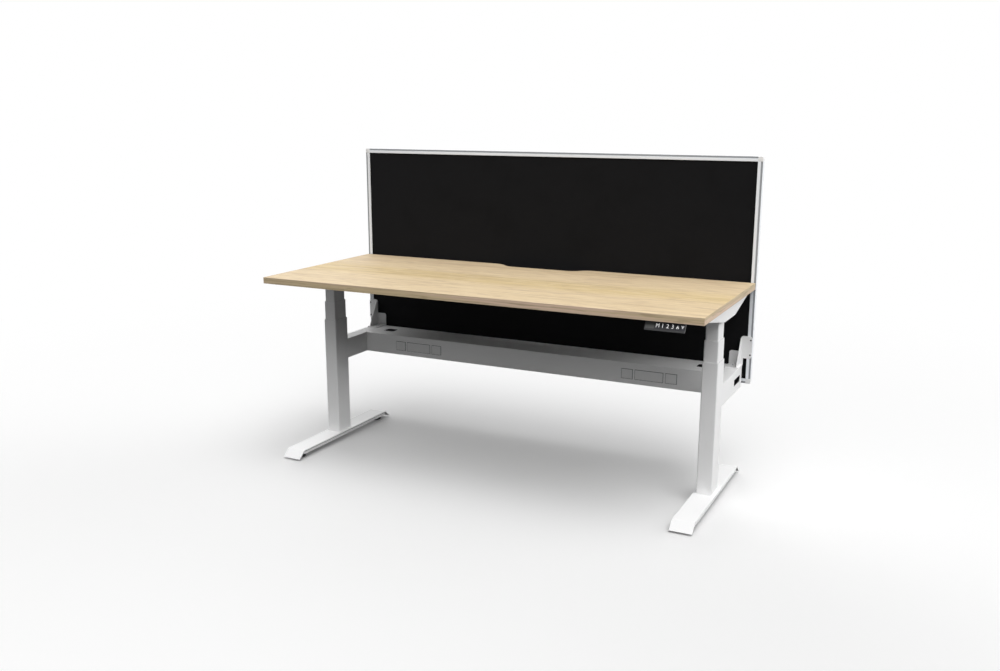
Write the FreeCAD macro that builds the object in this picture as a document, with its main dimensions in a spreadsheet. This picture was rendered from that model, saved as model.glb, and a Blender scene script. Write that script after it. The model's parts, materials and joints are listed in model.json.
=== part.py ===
"""A two-leg electric sit-stand workstation with a fixed cable beam and a beam-mounted fabric screen."""
import FreeCAD, Part
import math
import os

import Sketcher
from FreeCAD import Vector

# Driving dimensions in millimetres. The origin lies on the floor, midway between the two columns:
# +X runs to the user's right, +Y to the screen and +Z up.
SIZES = {
    # worktop
    "top_width": 1800.0,
    "top_depth": 750.0,
    "top_thickness": 25.0,
    "top_height": 780.0,
    "edge_band": 2.0,
    "scallop_depth": 50.0,
    "scallop_floor_width": 245.0,
    "scallop_curve": 105.0,
    # travel of the worktop from the height at which it is stored
    "lowest_height": 620.0,
    "highest_height": 1270.0,
    # columns, three tubes each
    "leg_inset": 62.0,
    "column_width": 60.0,
    "column_depth": 90.0,
    "column_wall": 1.6,
    "column_corner": 5.0,
    "stage_step": 3.0,
    "stage_gap": 1.0,
    "stage_length": 500.0,
    "inner_length": 490.0,
    "stage_plate": 5.0,
    "glide_height": 40.0,
    "glide_clearance": 0.3,
    "glide_inset": 8.0,
    "seat_clearance": 0.1,
    # lifting gear
    "spindle_diameter": 12.0,
    "screw_tube_diameter": 20.0,
    "screw_tube_wall": 3.0,
    "screw_tube_length": 480.0,
    "spindle_spare": 114.0,
    "nut_height": 25.0,
    "nut_width": 34.0,
    "nut_depth": 62.0,
    "nut_drop": 40.0,
    "nut_rod_diameter": 10.0,
    "nut_rod_spacing": 48.0,
    "rod_clearance": 1.0,
    "thread_clearance": 0.1,
    "gearbox_height": 46.0,
    "gearbox_width": 72.0,
    "gearbox_front": 42.0,
    "gearbox_rear": 50.0,
    "gearbox_corner": 6.0,
    "motor_diameter": 44.0,
    "motor_length": 72.0,
    "motor_cap_diameter": 30.0,
    "motor_cap_length": 6.0,
    # feet
    "foot_length": 696.0,
    "foot_width": 83.0,
    "foot_top": 38.0,
    "foot_tip": 8.0,
    "foot_slope": 34.0,
    "foot_plate": 5.0,
    "foot_channel_width": 77.0,
    "foot_channel_length": 620.0,
    "foot_channel_height": 14.0,
    "foot_channel_wall": 3.0,
    # levelling feet
    "leveller_spacing": 580.0,
    "leveller_diameter": 50.0,
    "leveller_rim": 5.0,
    "leveller_height": 13.0,
    "leveller_neck": 16.0,
    "stud_diameter": 8.0,
    "stud_length": 18.0,
    "boss_diameter": 20.0,
    # arms that carry the beam behind the columns
    "arm_width": 58.0,
    "arm_under_height": 360.0,
    "arm_height": 87.0,
    "arm_reach": 352.5,
    "arm_wall": 2.5,
    "port_width": 93.0,
    "port_height": 25.0,
    "port_rise": 31.0,
    "port_rear_inset": 32.0,
    "mouth_margin": 10.0,
    # cable beam
    "beam_depth": 160.0,
    "beam_wall": 1.5,
    "beam_flange": 14.0,
    "lid_thickness": 2.0,
    "lid_slot_length": 52.0,
    "lid_slot_width": 50.0,
    "lid_slot_inset": 76.0,
    "lid_slot_distance": 62.0,
    "lid_slot_corner": 8.0,
    "blank_rise": 19.0,
    "blank_height": 43.0,
    "blank_end_width": 50.0,
    "blank_middle_width": 121.0,
    "blank_gap": 6.0,
    "blank_inset": 274.5,
    "blank_clearance": 1.2,
    "blank_lap": 2.0,
    "blank_thickness": 1.5,
    # screen brackets
    "bracket_plate": 3.0,
    "bracket_foot_depth": 75.0,
    "bracket_inset": 3.0,
    "bracket_high_width": 44.0,
    "bracket_low_rise": 56.0,
    "bracket_notch_rise": 28.0,
    "bracket_high_rise": 118.0,
    "bracket_corner": 9.0,
    "gusset_depth": 64.0,
    "gusset_thickness": 3.0,
    "gusset_tip": 8.0,
    # screen
    "screen_gap": 5.0,
    "screen_thickness": 30.0,
    "screen_rise": 12.0,
    "screen_height": 893.0,
    "frame_width": 19.0,
    "frame_face": 11.0,
    "frame_recess": 2.0,
    "frame_lip": 4.0,
    "frame_groove": 8.0,
    "frame_corner": 3.0,
    "fabric_thickness": 1.0,
    "fabric_clearance": 0.3,
    "core_clearance": 1.0,
    # supports and rails under the worktop
    "support_width": 80.0,
    "support_web": 3.0,
    "support_wall": 2.5,
    "support_depth": 61.0,
    "support_tip_depth": 17.0,
    "support_front_reach": 262.0,
    "support_front_length": 20.0,
    "support_rear_length": 135.0,
    "support_rear_reach": 334.0,
    "rail_depth": 40.0,
    "rail_height": 30.0,
    "rail_wall": 1.5,
    "rail_clearance": 0.3,
    "rail_overlap": 100.0,
    "sleeve_length": 820.0,
    "front_rail_distance": -120.0,
    "rear_rail_distance": 215.0,
    # screws
    "wood_screw_diameter": 4.0,
    "wood_screw_length": 14.0,
    "wood_screw_head": 9.0,
    "wood_screw_head_height": 2.5,
    "machine_screw_diameter": 4.0,
    "machine_screw_head": 7.5,
    "machine_screw_head_height": 2.2,
    "machine_screw_grip": 5.0,
    "screw_clearance": 0.15,
    # control box
    "box_width": 260.0,
    "box_depth": 110.0,
    "box_height": 34.0,
    "box_corner": 6.0,
    "box_distance": 45.0,
    "socket_width": 14.0,
    "socket_height": 12.0,
    "socket_depth": 9.0,
    "socket_pitch": 24.0,
    "socket_reach": 90.0,
    "inlet_width": 27.0,
    "inlet_height": 20.0,
    "inlet_depth": 14.0,
    "inlet_offset": 85.0,
    "ear_length": 16.0,
    "ear_width": 24.0,
    "ear_thickness": 3.0,
    # handset under the worktop's front edge
    "handset_width": 138.0,
    "handset_side_inset": 138.5,
    "handset_front_inset": 13.0,
    "handset_depth": 82.0,
    "handset_drop": 34.5,
    "handset_lip": 4.0,
    "handset_thickness": 14.0,
    "handset_face_run": 17.0,
    "handset_face_rise": 28.0,
    "handset_flange": 6.0,
    "handset_round": 1.0,
    "key_width": 14.4,
    "key_height": 24.0,
    "key_pitch": 17.0,
    "first_key_distance": -24.0,
    "key_thickness": 3.0,
    "key_proud": 0.5,
    "key_gap": 0.5,
    "key_travel": 1.0,
    "key_floor_gap": 0.4,
    "key_rise": -1.0,
    "display_width": 30.0,
    "display_height": 24.0,
    "display_distance": -50.5,
    "display_thickness": 1.5,
    # how far a cut runs past the face that it opens
    "overrun": 5.0,
}
KEY_NAMES = ("memory", "one", "two", "three", "up", "down")
SOCKETS = 3
# sides of screw heads, of small shanks and holes, and of the levelling pads
HEAD_SIDES = 6
SHANK_SIDES = 12
PAD_SIDES = 24

doc = FreeCAD.newDocument("workstation")
sheet = doc.addObject("Spreadsheet::Sheet", "Sizes")
nodes = []


class Size:
    """A length written with the sheet's names, and the value that it has now."""

    def __init__(self, words, value):
        self.words = words
        self.value = value

    def __add__(self, other):
        return Size("(%s + %s)" % (self.words, words_of(other)), self.value + value_of(other))

    def __radd__(self, other):
        return Size("(%s + %s)" % (words_of(other), self.words), value_of(other) + self.value)

    def __sub__(self, other):
        return Size("(%s - %s)" % (self.words, words_of(other)), self.value - value_of(other))

    def __rsub__(self, other):
        return Size("(%s - %s)" % (words_of(other), self.words), value_of(other) - self.value)

    def __mul__(self, other):
        return Size("(%s * %s)" % (self.words, words_of(other)), self.value * value_of(other))

    __rmul__ = __mul__

    def __truediv__(self, other):
        return Size("(%s / %s)" % (self.words, words_of(other)), self.value / value_of(other))

    def __neg__(self):
        return Size("(-1 * %s)" % self.words, -self.value)


def words_of(size):
    """The expression of a size or of a plain number."""
    return size.words if isinstance(size, Size) else repr(size)


def value_of(size):
    """The present value of a size or of a plain number."""
    return size.value if isinstance(size, Size) else float(size)


def root(size):
    """The square root of a size."""
    return Size("sqrt(%s)" % size.words, math.sqrt(size.value))


def slope_angle(rise, run):
    """The angle of a slope in degrees."""
    return Size("atan(%s / %s)" % (rise.words, run.words), math.degrees(math.atan2(rise.value, run.value)))


class Names:
    """The sheet's sizes by name."""


def fill_sheet():
    """Writes every driving dimension to the sheet and returns the sizes by name."""
    names = Names()
    for row, (name, value) in enumerate(SIZES.items(), start=1):
        sheet.set("A%d" % row, name)
        sheet.set("B%d" % row, str(value))
        sheet.setAlias("B%d" % row, name)
        setattr(names, name, Size("Sizes." + name, value))
    doc.recompute()
    return names


S = fill_sheet()

# Places that several pieces share
leg_x = S.top_width / 2 - S.leg_inset
top_under = S.top_height - S.top_thickness
top_front = -(S.top_depth + S.screen_gap + S.screen_thickness) / 2
top_rear = top_front + S.top_depth
screen_front = top_rear + S.screen_gap
screen_back = screen_front + S.screen_thickness
screen_under = S.arm_under_height + S.screen_rise
screen_top = screen_under + S.screen_height
middle_width = S.column_width - S.stage_step * 2
middle_depth = S.column_depth - S.stage_step * 2
inner_width = middle_width - S.stage_step * 2
inner_depth = middle_depth - S.stage_step * 2
gearbox_bottom = top_under - S.support_web - S.gearbox_height
fall = S.top_height - S.lowest_height
rise = S.highest_height - S.top_height
outer_tube_top = gearbox_bottom - fall - S.stage_gap
middle_tube_top = outer_tube_top + fall / 2
middle_bottom = middle_tube_top - S.stage_length
screw_tube_top = middle_bottom + S.stage_plate + S.screw_tube_length
inner_bottom = gearbox_bottom - S.inner_length
arm_outer = leg_x + S.arm_width / 2
arm_inner = leg_x - S.arm_width / 2
beam_front = S.arm_reach - S.beam_depth
bracket_inner = arm_inner + S.bracket_inset
bracket_step = S.top_width / 2 - S.bracket_high_width
lid_slot_x = arm_inner - S.lid_slot_inset
blank_x = arm_inner - S.blank_inset
handset_x = S.top_width / 2 - S.handset_side_inset
lid_top = S.arm_under_height + S.arm_height
blank_under = S.arm_under_height + S.blank_rise
bracket_low_top = lid_top + S.bracket_low_rise
bracket_notch = lid_top + S.bracket_notch_rise
bracket_high_top = lid_top + S.bracket_high_rise
nut_top = outer_tube_top - S.nut_drop


def bind(item, path, size):
    """Ties a property of an object to the sheet."""
    item.setExpression(path, words_of(size))


def settle(item, base=(0, 0, 0)):
    """Ties a sub-part's place to the sheet."""
    for axis, size in zip("xyz", base):
        if isinstance(size, Size):
            bind(item, "Placement.Base." + axis, size)


def new_body(label):
    """An empty body under its own label."""
    body = doc.addObject("PartDesign::Body", label)
    body.Label = label
    return body


def sketch_on(body, role, offset=0):
    """A sketch on one of the body's origin planes, moved along that plane's normal."""
    plane = [item for item in body.Origin.OriginFeatures if item.Role == role][0]
    sketch = body.newObject("Sketcher::SketchObject", body.Name + "_sketch")
    sketch.AttachmentSupport = [(plane, "")]
    sketch.MapMode = "FlatFace"
    if isinstance(offset, Size):
        bind(sketch, "AttachmentOffset.Base.z", offset)
    return sketch


def pin(sketch, item, point, x, y):
    """Fixes a point of a sketch by its two distances from the sketch's origin."""
    for kind, axis, size in (("DistanceX", -2, x), ("DistanceY", -1, y)):
        if isinstance(size, Size):
            index = sketch.addConstraint(Sketcher.Constraint(kind, -1, 1, item, point, size.value))
            bind(sketch, "Constraints[%d]" % index, size)
        else:
            sketch.addConstraint(Sketcher.Constraint("PointOnObject", item, point, axis))


def outline(sketch, steps):
    """Draws a closed line through steps of (x, y), or (x, y, centre x, centre y, turn) for an arc.

    A turn of 1 is anticlockwise and -1 clockwise. The last step leads back to the first point.
    """
    ends = [Vector(value_of(step[0]), value_of(step[1]), 0) for step in steps]
    items = []
    for index, step in enumerate(steps):
        start, end = ends[index - 1], ends[index]
        if len(step) == 2:
            items.append((sketch.addGeometry(Part.LineSegment(start, end), False), 1, 2))
            continue
        centre = Vector(value_of(step[2]), value_of(step[3]), 0)
        first, last = (start, end) if step[4] > 0 else (end, start)
        angles = [math.atan2(point.y - centre.y, point.x - centre.x) for point in (first, last)]
        circle = Part.Circle(centre, Vector(0, 0, 1), (first - centre).Length)
        arc = Part.ArcOfCircle(circle, angles[0], angles[1])
        number = sketch.addGeometry(arc, False)
        items.append((number, 1, 2) if step[4] > 0 else (number, 2, 1))
        chord = end - start
        kind, size = ("DistanceX", step[2]) if abs(chord.y) >= abs(chord.x) else ("DistanceY", step[3])
        if isinstance(size, Size):
            index_of = sketch.addConstraint(Sketcher.Constraint(kind, -1, 1, number, 3, size.value))
            bind(sketch, "Constraints[%d]" % index_of, size)
        else:
            axis = -2 if kind == "DistanceX" else -1
            sketch.addConstraint(Sketcher.Constraint("PointOnObject", number, 3, axis))
    for index, (number, first, last) in enumerate(items):
        before, _, before_last = items[index - 1]
        sketch.addConstraint(Sketcher.Constraint("Coincident", before, before_last, number, first))
        pin(sketch, number, last, steps[index][0], steps[index][1])


def rectangle(sketch, left, bottom, right, top, corner=None):
    """Draws a rectangle, with round corners where a radius is given."""
    if corner is None:
        outline(sketch, [(left, bottom), (right, bottom), (right, top), (left, top)])
        return
    outline(sketch, [
        (left + corner, bottom, left + corner, bottom + corner, 1),
        (right - corner, bottom),
        (right, bottom + corner, right - corner, bottom + corner, 1),
        (right, top - corner),
        (right - corner, top, right - corner, top - corner, 1),
        (left + corner, top),
        (left, top - corner, left + corner, top - corner, 1),
        (left, bottom + corner),
    ])


def centred(sketch, width, height, corner=None):
    """Draws a rectangle round the sketch's origin."""
    rectangle(sketch, -width / 2, -height / 2, width / 2, height / 2, corner)


def circle(sketch, x, y, diameter):
    """Draws a circle."""
    centre = Vector(value_of(x), value_of(y), 0)
    number = sketch.addGeometry(Part.Circle(centre, Vector(0, 0, 1), diameter.value / 2), False)
    pin(sketch, number, 3, x, y)
    index = sketch.addConstraint(Sketcher.Constraint("Diameter", number, diameter.value))
    bind(sketch, "Constraints[%d]" % index, diameter)


def polygon(sketch, sides, x, y, diameter):
    """Draws a regular polygon inside a circle."""
    angles = [math.tau * turn / sides for turn in range(sides)]
    radius = diameter / 2
    outline(sketch, [(x + radius * math.cos(angle), y + radius * math.sin(angle)) for angle in angles])


def shank(sketch, x, y, diameter):
    """Draws the section of a screw's shank or of its hole, with few sides because there are many."""
    polygon(sketch, SHANK_SIDES, x, y, diameter)


def pad(body, sketch, length, back=False):
    """Raises a sketch along its plane's normal, or against it."""
    feature = body.newObject("PartDesign::Pad", body.Name + "_pad")
    feature.Profile = sketch
    feature.Reversed = back
    bind(feature, "Length", length)
    doc.recompute()
    return feature


def pocket(body, sketch, length, ahead=False):
    """Cuts a sketch against its plane's normal, or along it, and makes sure that it cut."""
    before = body.Shape.Volume
    feature = body.newObject("PartDesign::Pocket", body.Name + "_pocket")
    feature.Profile = sketch
    feature.Reversed = ahead
    bind(feature, "Length", length)
    doc.recompute()
    if not feature.Shape.Volume < before:
        raise RuntimeError(body.Label + " has a pocket that cuts nothing")
    return feature


def turned(body, sketch):
    """Turns a sketch round its upright axis."""
    feature = body.newObject("PartDesign::Revolution", body.Name + "_turn")
    feature.Profile = sketch
    feature.ReferenceAxis = (sketch, ["V_Axis"])
    feature.Angle = 360
    doc.recompute()
    return feature


def edges_where(feature, test):
    """The names of a feature's edges whose middle point and direction pass a test."""
    names = []
    for index, edge in enumerate(feature.Shape.Edges, start=1):
        ends = [vertex.Point for vertex in edge.Vertexes]
        if len(ends) < 2:
            continue
        along = (ends[1] - ends[0]).normalize()
        if test((ends[0] + ends[1]) / 2, along):
            names.append("Edge%d" % index)
    return names


def soften(body, feature, kind, size, test):
    """Rounds or chamfers the edges of a feature that pass a test."""
    names = edges_where(feature, test)
    if not names:
        raise RuntimeError(body.Label + " has no edge to soften")
    change = body.newObject("PartDesign::" + kind, body.Name + "_" + kind.lower())
    change.Base = (feature, names)
    bind(change, "Radius" if kind == "Fillet" else "Size", size)
    doc.recompute()
    return change


def keep(item, label=None):
    """Lists an object as a sub-part under its label."""
    if label:
        item.Label = label
    nodes.append(item)
    return item


def mirror(source, label):
    """The same piece on the other side of the middle plane."""
    item = doc.addObject("Part::Mirroring", label)
    item.Label = label
    item.Source = source
    item.Normal = Vector(1, 0, 0)
    return item


def mirrors(sources):
    """The twins of several pieces on the other side of the middle plane."""
    return [mirror(source, source.Label + "_left") for source in sources]


def group(label, items):
    """Several separate solids under one label."""
    item = doc.addObject("Part::Compound", label)
    item.Label = label
    item.Links = items
    return keep(item)


def pair(right, name):
    """Keeps a right-hand piece and its left-hand twin."""
    keep(right, "right_" + name)
    keep(mirror(right, "left_" + name))


def foot():
    """A folded plate with sloping ends over a closed channel, with bosses for the levelling feet."""
    body = new_body("right_foot")
    half = S.foot_length / 2
    drop = S.foot_top - S.foot_tip
    slope = root(S.foot_slope * S.foot_slope + drop * drop)
    cut = S.foot_plate * slope / drop
    setback = S.foot_plate * (slope - S.foot_slope) / drop
    under = S.foot_top - S.foot_plate
    profile = sketch_on(body, "YZ_Plane", -S.foot_width / 2)
    outline(profile, [
        (-half, S.foot_tip),
        (-half + cut, S.foot_tip),
        (-half + S.foot_slope + setback, under),
        (half - S.foot_slope - setback, under),
        (half - cut, S.foot_tip),
        (half, S.foot_tip),
        (half - S.foot_slope, S.foot_top),
        (-half + S.foot_slope, S.foot_top),
    ])
    pad(body, profile, S.foot_width)
    channel = sketch_on(body, "XY_Plane", S.foot_channel_height)
    centred(channel, S.foot_channel_width, S.foot_channel_length)
    centred(channel, S.foot_channel_width - S.foot_channel_wall * 2,
            S.foot_channel_length - S.foot_channel_wall * 2)
    pad(body, channel, under - S.foot_channel_height)
    bosses = sketch_on(body, "XY_Plane", S.leveller_height)
    for place in (-S.leveller_spacing / 2, S.leveller_spacing / 2):
        polygon(bosses, PAD_SIDES, 0, place, S.boss_diameter)
        shank(bosses, 0, place, S.stud_diameter + S.thread_clearance * 2)
    pad(body, bosses, under - S.leveller_height)
    settle(body, (leg_x, 0, 0))
    pair(body, "foot")


def leveller(label, side, end):
    """A plastic pad on a threaded stud that screws into the foot."""
    body = new_body(label)
    rim = sketch_on(body, "XY_Plane")
    polygon(rim, PAD_SIDES, 0, 0, S.leveller_diameter)
    pad(body, rim, S.leveller_rim)
    neck = sketch_on(body, "XY_Plane", S.leveller_rim)
    polygon(neck, HEAD_SIDES, 0, 0, S.leveller_neck)
    pad(body, neck, S.leveller_height - S.leveller_rim)
    stud = sketch_on(body, "XY_Plane", S.leveller_height)
    shank(stud, 0, 0, S.stud_diameter)
    pad(body, stud, S.stud_length)
    settle(body, (leg_x * side, S.leveller_spacing / 2 * end, 0))
    keep(body)


def tube(body, width, depth, wall, corner, bottom, length):
    """Raises a rectangular tube with round corners."""
    profile = sketch_on(body, "XY_Plane", bottom)
    centred(profile, width, depth, corner)
    centred(profile, width - wall * 2, depth - wall * 2, corner - wall)
    return pad(body, profile, length)


def glides(label, tube_outside, larger_outside, seated_in_larger, bottom):
    """Four plastic glide pads between one tube and the next larger one, seated in or on one of them."""
    room = S.column_wall * 2
    gap = (S.seat_clearance, S.glide_clearance) if seated_in_larger else (S.glide_clearance, S.seat_clearance)
    outside = [(size - room) / 2 - gap[0] for size in larger_outside]
    inside = [size / 2 + gap[1] for size in tube_outside]
    reach = [size / 2 - S.glide_inset for size in tube_outside]
    pads = []
    for side in (1, -1):
        for name, edges in (
            ("side", (inside[0] * side, -reach[1], outside[0] * side, reach[1])),
            ("end", (-reach[0], inside[1] * side, reach[0], outside[1] * side)),
        ):
            pad_body = new_body("%s_%s_%s" % (label, name, "far" if side > 0 else "near"))
            plan = sketch_on(pad_body, "XY_Plane", bottom)
            rectangle(plan, *edges)
            pad(pad_body, plan, S.glide_height)
            settle(pad_body, (leg_x, 0, 0))
            pads.append(pad_body)
    return pads


def columns():
    """The three telescoping tubes of each leg with the glides between them."""
    outer = new_body("right_outer_tube")
    tube(outer, S.column_width, S.column_depth, S.column_wall, S.column_corner, S.foot_top,
         outer_tube_top - S.foot_top)
    settle(outer, (leg_x, 0, 0))
    pair(outer, "outer_tube")

    middle = new_body("right_middle_tube")
    tube(middle, middle_width, middle_depth, S.column_wall, S.column_corner, middle_bottom, S.stage_length)
    plate = sketch_on(middle, "XY_Plane", middle_bottom)
    inside = S.column_wall * 2
    centred(plate, middle_width - inside, middle_depth - inside, S.column_corner - S.column_wall)
    for place in (-S.nut_rod_spacing / 2, S.nut_rod_spacing / 2):
        circle(plate, 0, place, S.nut_rod_diameter + S.rod_clearance * 2)
    circle(plate, 0, 0, S.spindle_diameter + S.rod_clearance * 2)
    pad(middle, plate, S.stage_plate)
    settle(middle, (leg_x, 0, 0))
    pair(middle, "middle_tube")

    inner = new_body("right_inner_tube")
    tube(inner, inner_width, inner_depth, S.column_wall, S.column_corner, inner_bottom, S.inner_length)
    settle(inner, (leg_x, 0, 0))
    pair(inner, "inner_tube")

    outer_size = (S.column_width, S.column_depth)
    middle_size = (middle_width, middle_depth)
    inner_size = (inner_width, inner_depth)
    top_glides = glides("outer_glide", middle_size, outer_size, True, outer_tube_top - S.glide_height)
    group("outer_glides", top_glides + mirrors(top_glides))
    low_glides = glides("inner_glide", inner_size, middle_size, False, inner_bottom)
    group("inner_glides", low_glides + mirrors(low_glides))
    pads = glides("upper_glide", inner_size, middle_size, True, middle_tube_top - S.glide_height)
    pads += glides("lower_glide", middle_size, outer_size, False, middle_bottom)
    group("right_middle_glides", pads)
    group("left_middle_glides", mirrors(pads))


def lifting_gear():
    """Base nuts on rods, screw tubes, spindles, gearboxes and motors."""
    nut = new_body("base_nut")
    block = sketch_on(nut, "XY_Plane", nut_top - S.nut_height)
    centred(block, S.nut_width, S.nut_depth)
    circle(block, 0, 0, S.screw_tube_diameter + S.thread_clearance * 2)
    pad(nut, block, S.nut_height)
    rods = sketch_on(nut, "XY_Plane", S.foot_top)
    for place in (-S.nut_rod_spacing / 2, S.nut_rod_spacing / 2):
        circle(rods, 0, place, S.nut_rod_diameter)
    pad(nut, rods, nut_top - S.nut_height - S.foot_top)
    settle(nut, (leg_x, 0, 0))
    group("base_nuts", [nut] + mirrors([nut]))

    screw = new_body("right_screw_tube")
    low = middle_bottom + S.stage_plate
    high = screw_tube_top
    outside, inside = S.screw_tube_diameter / 2, S.screw_tube_diameter / 2 - S.screw_tube_wall
    thread = S.spindle_diameter / 2 + S.thread_clearance
    section = sketch_on(screw, "XZ_Plane")
    outline(section, [
        (inside, low),
        (outside, low),
        (outside, high),
        (thread, high),
        (thread, high - S.nut_height),
        (inside, high - S.nut_height),
    ])
    turned(screw, section)
    settle(screw, (leg_x, 0, 0))
    pair(screw, "screw_tube")

    spindle = new_body("right_spindle")
    reach = gearbox_bottom - screw_tube_top + S.nut_height + rise / 2 + S.spindle_spare
    rod = sketch_on(spindle, "XY_Plane", gearbox_bottom - reach)
    circle(rod, 0, 0, S.spindle_diameter)
    pad(spindle, rod, reach)
    settle(spindle, (leg_x, 0, 0))
    pair(spindle, "spindle")

    gearbox = new_body("gearbox")
    case = sketch_on(gearbox, "XY_Plane", gearbox_bottom)
    half = S.gearbox_width / 2
    rectangle(case, -half, -S.gearbox_front, half, S.gearbox_rear, S.gearbox_corner)
    pad(gearbox, case, S.gearbox_height)
    settle(gearbox, (leg_x, 0, 0))
    group("gearboxes", [gearbox] + mirrors([gearbox]))

    motor = new_body("motor")
    axis_height = gearbox_bottom + S.gearbox_height / 2
    can = sketch_on(motor, "XZ_Plane", -(S.gearbox_rear + S.motor_length))
    circle(can, 0, axis_height, S.motor_diameter)
    pad(motor, can, S.motor_length)
    cap = sketch_on(motor, "XZ_Plane", -(S.gearbox_rear + S.motor_length + S.motor_cap_length))
    circle(cap, 0, axis_height, S.motor_cap_diameter)
    pad(motor, cap, S.motor_cap_length)
    settle(motor, (leg_x, 0, 0))
    group("motors", [motor] + mirrors([motor]))


def arm():
    """A box arm from the column back to the screen, open to the beam and with a cable port outside."""
    body = new_body("right_arm")
    front = S.column_depth / 2
    half = S.arm_width / 2
    low, high, wall = S.arm_under_height, lid_top, S.arm_wall
    box = sketch_on(body, "XZ_Plane", -S.arm_reach)
    rectangle(box, -half, low, half, high)
    rectangle(box, -half + wall, low + wall, half - wall, high - wall)
    pad(body, box, S.arm_reach - front)
    for rear in (S.arm_reach, front + S.arm_wall):
        end = sketch_on(body, "XZ_Plane", -rear)
        rectangle(end, -half, low, half, high)
        pad(body, end, S.arm_wall)
    port = sketch_on(body, "YZ_Plane", half + S.overrun)
    port_rear = S.arm_reach - S.port_rear_inset
    port_low = low + S.port_rise
    rectangle(port, port_rear - S.port_width, port_low, port_rear, port_low + S.port_height)
    pocket(body, port, S.arm_wall + S.overrun)
    mouth = sketch_on(body, "YZ_Plane", -half - S.overrun)
    rectangle(mouth, beam_front + S.mouth_margin, S.arm_under_height + S.mouth_margin,
              S.arm_reach - S.mouth_margin, lid_top - S.mouth_margin)
    pocket(body, mouth, S.arm_wall + S.overrun, ahead=True)
    holes = sketch_on(body, "XY_Plane", lid_top + S.overrun)
    for place in bracket_foot_screws():
        shank(holes, bracket_screw_line() - leg_x, place, S.machine_screw_diameter + S.screw_clearance * 2)
    pocket(body, holes, S.arm_wall + S.overrun)
    settle(body, (leg_x, 0, 0))
    pair(body, "arm")


def bracket_screw_line():
    """The distance from the middle plane of the screws through a screen bracket's foot."""
    return (bracket_inner + bracket_step) / 2


def bracket_foot_screws():
    """The places of the two screws through a screen bracket's foot."""
    front = screen_front - S.bracket_foot_depth
    return front + S.bracket_foot_depth / 4, front + S.bracket_foot_depth * 0.6


def bracket_frame_screws():
    """The heights of the two screws that hold a screen bracket to the frame."""
    plate_height = bracket_high_top - bracket_notch
    return bracket_notch + plate_height / 6, bracket_high_top - plate_height / 6


def beam_openings():
    """The beam's outlet cut-outs on the right-hand side, as pairs of inner and outer edges."""
    middle = S.blank_middle_width / 2
    first = middle + S.blank_gap
    return [
        (blank_x - first - S.blank_end_width, blank_x - first),
        (blank_x - middle, blank_x + middle),
        (blank_x + first, blank_x + first + S.blank_end_width),
    ]


def beam():
    """The folded cable channel between the arms, its lid and the plates that blank its outlets."""
    channel = new_body("beam_channel")
    under_lid = lid_top - S.lid_thickness
    wall = S.beam_wall
    section = sketch_on(channel, "YZ_Plane", -arm_inner)
    outline(section, [
        (beam_front, S.arm_under_height),
        (S.arm_reach, S.arm_under_height),
        (S.arm_reach, under_lid),
        (S.arm_reach - S.beam_flange, under_lid),
        (S.arm_reach - S.beam_flange, under_lid - wall),
        (S.arm_reach - wall, under_lid - wall),
        (S.arm_reach - wall, S.arm_under_height + wall),
        (beam_front + wall, S.arm_under_height + wall),
        (beam_front + wall, under_lid - wall),
        (beam_front + S.beam_flange, under_lid - wall),
        (beam_front + S.beam_flange, under_lid),
        (beam_front, under_lid),
    ])
    pad(channel, section, arm_inner * 2)
    cuts = sketch_on(channel, "XZ_Plane", -(beam_front - S.overrun))
    for inner, outer in beam_openings():
        rectangle(cuts, inner, blank_under, outer, blank_under + S.blank_height)
        rectangle(cuts, -outer, blank_under, -inner, blank_under + S.blank_height)
    pocket(channel, cuts, wall + S.overrun)
    keep(channel)

    lid = new_body("beam_lid")
    plate = sketch_on(lid, "XY_Plane", under_lid)
    rectangle(plate, -arm_inner, beam_front, arm_inner, S.arm_reach)
    for centre in (-lid_slot_x, lid_slot_x):
        rectangle(plate, centre - S.lid_slot_length / 2, beam_front + S.lid_slot_distance,
                  centre + S.lid_slot_length / 2, beam_front + S.lid_slot_distance + S.lid_slot_width,
                  S.lid_slot_corner)
    pad(lid, plate, S.lid_thickness)
    keep(lid)

    blanks = []
    for number, (inner, outer) in enumerate(beam_openings(), start=1):
        blank = new_body("blank_%d" % number)
        flange = sketch_on(blank, "XZ_Plane", -(beam_front + wall + S.blank_thickness))
        low, high = blank_under, blank_under + S.blank_height
        rectangle(flange, inner - S.blank_lap, low - S.blank_lap, outer + S.blank_lap, high + S.blank_lap)
        pad(blank, flange, S.blank_thickness)
        face = sketch_on(blank, "XZ_Plane", -(beam_front + wall))
        gap = S.blank_clearance
        rectangle(face, inner + gap, low + gap, outer - gap, high - gap)
        pad(blank, face, wall)
        blanks.append(blank)
    group("outlet_blanks", blanks + mirrors(blanks))


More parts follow.
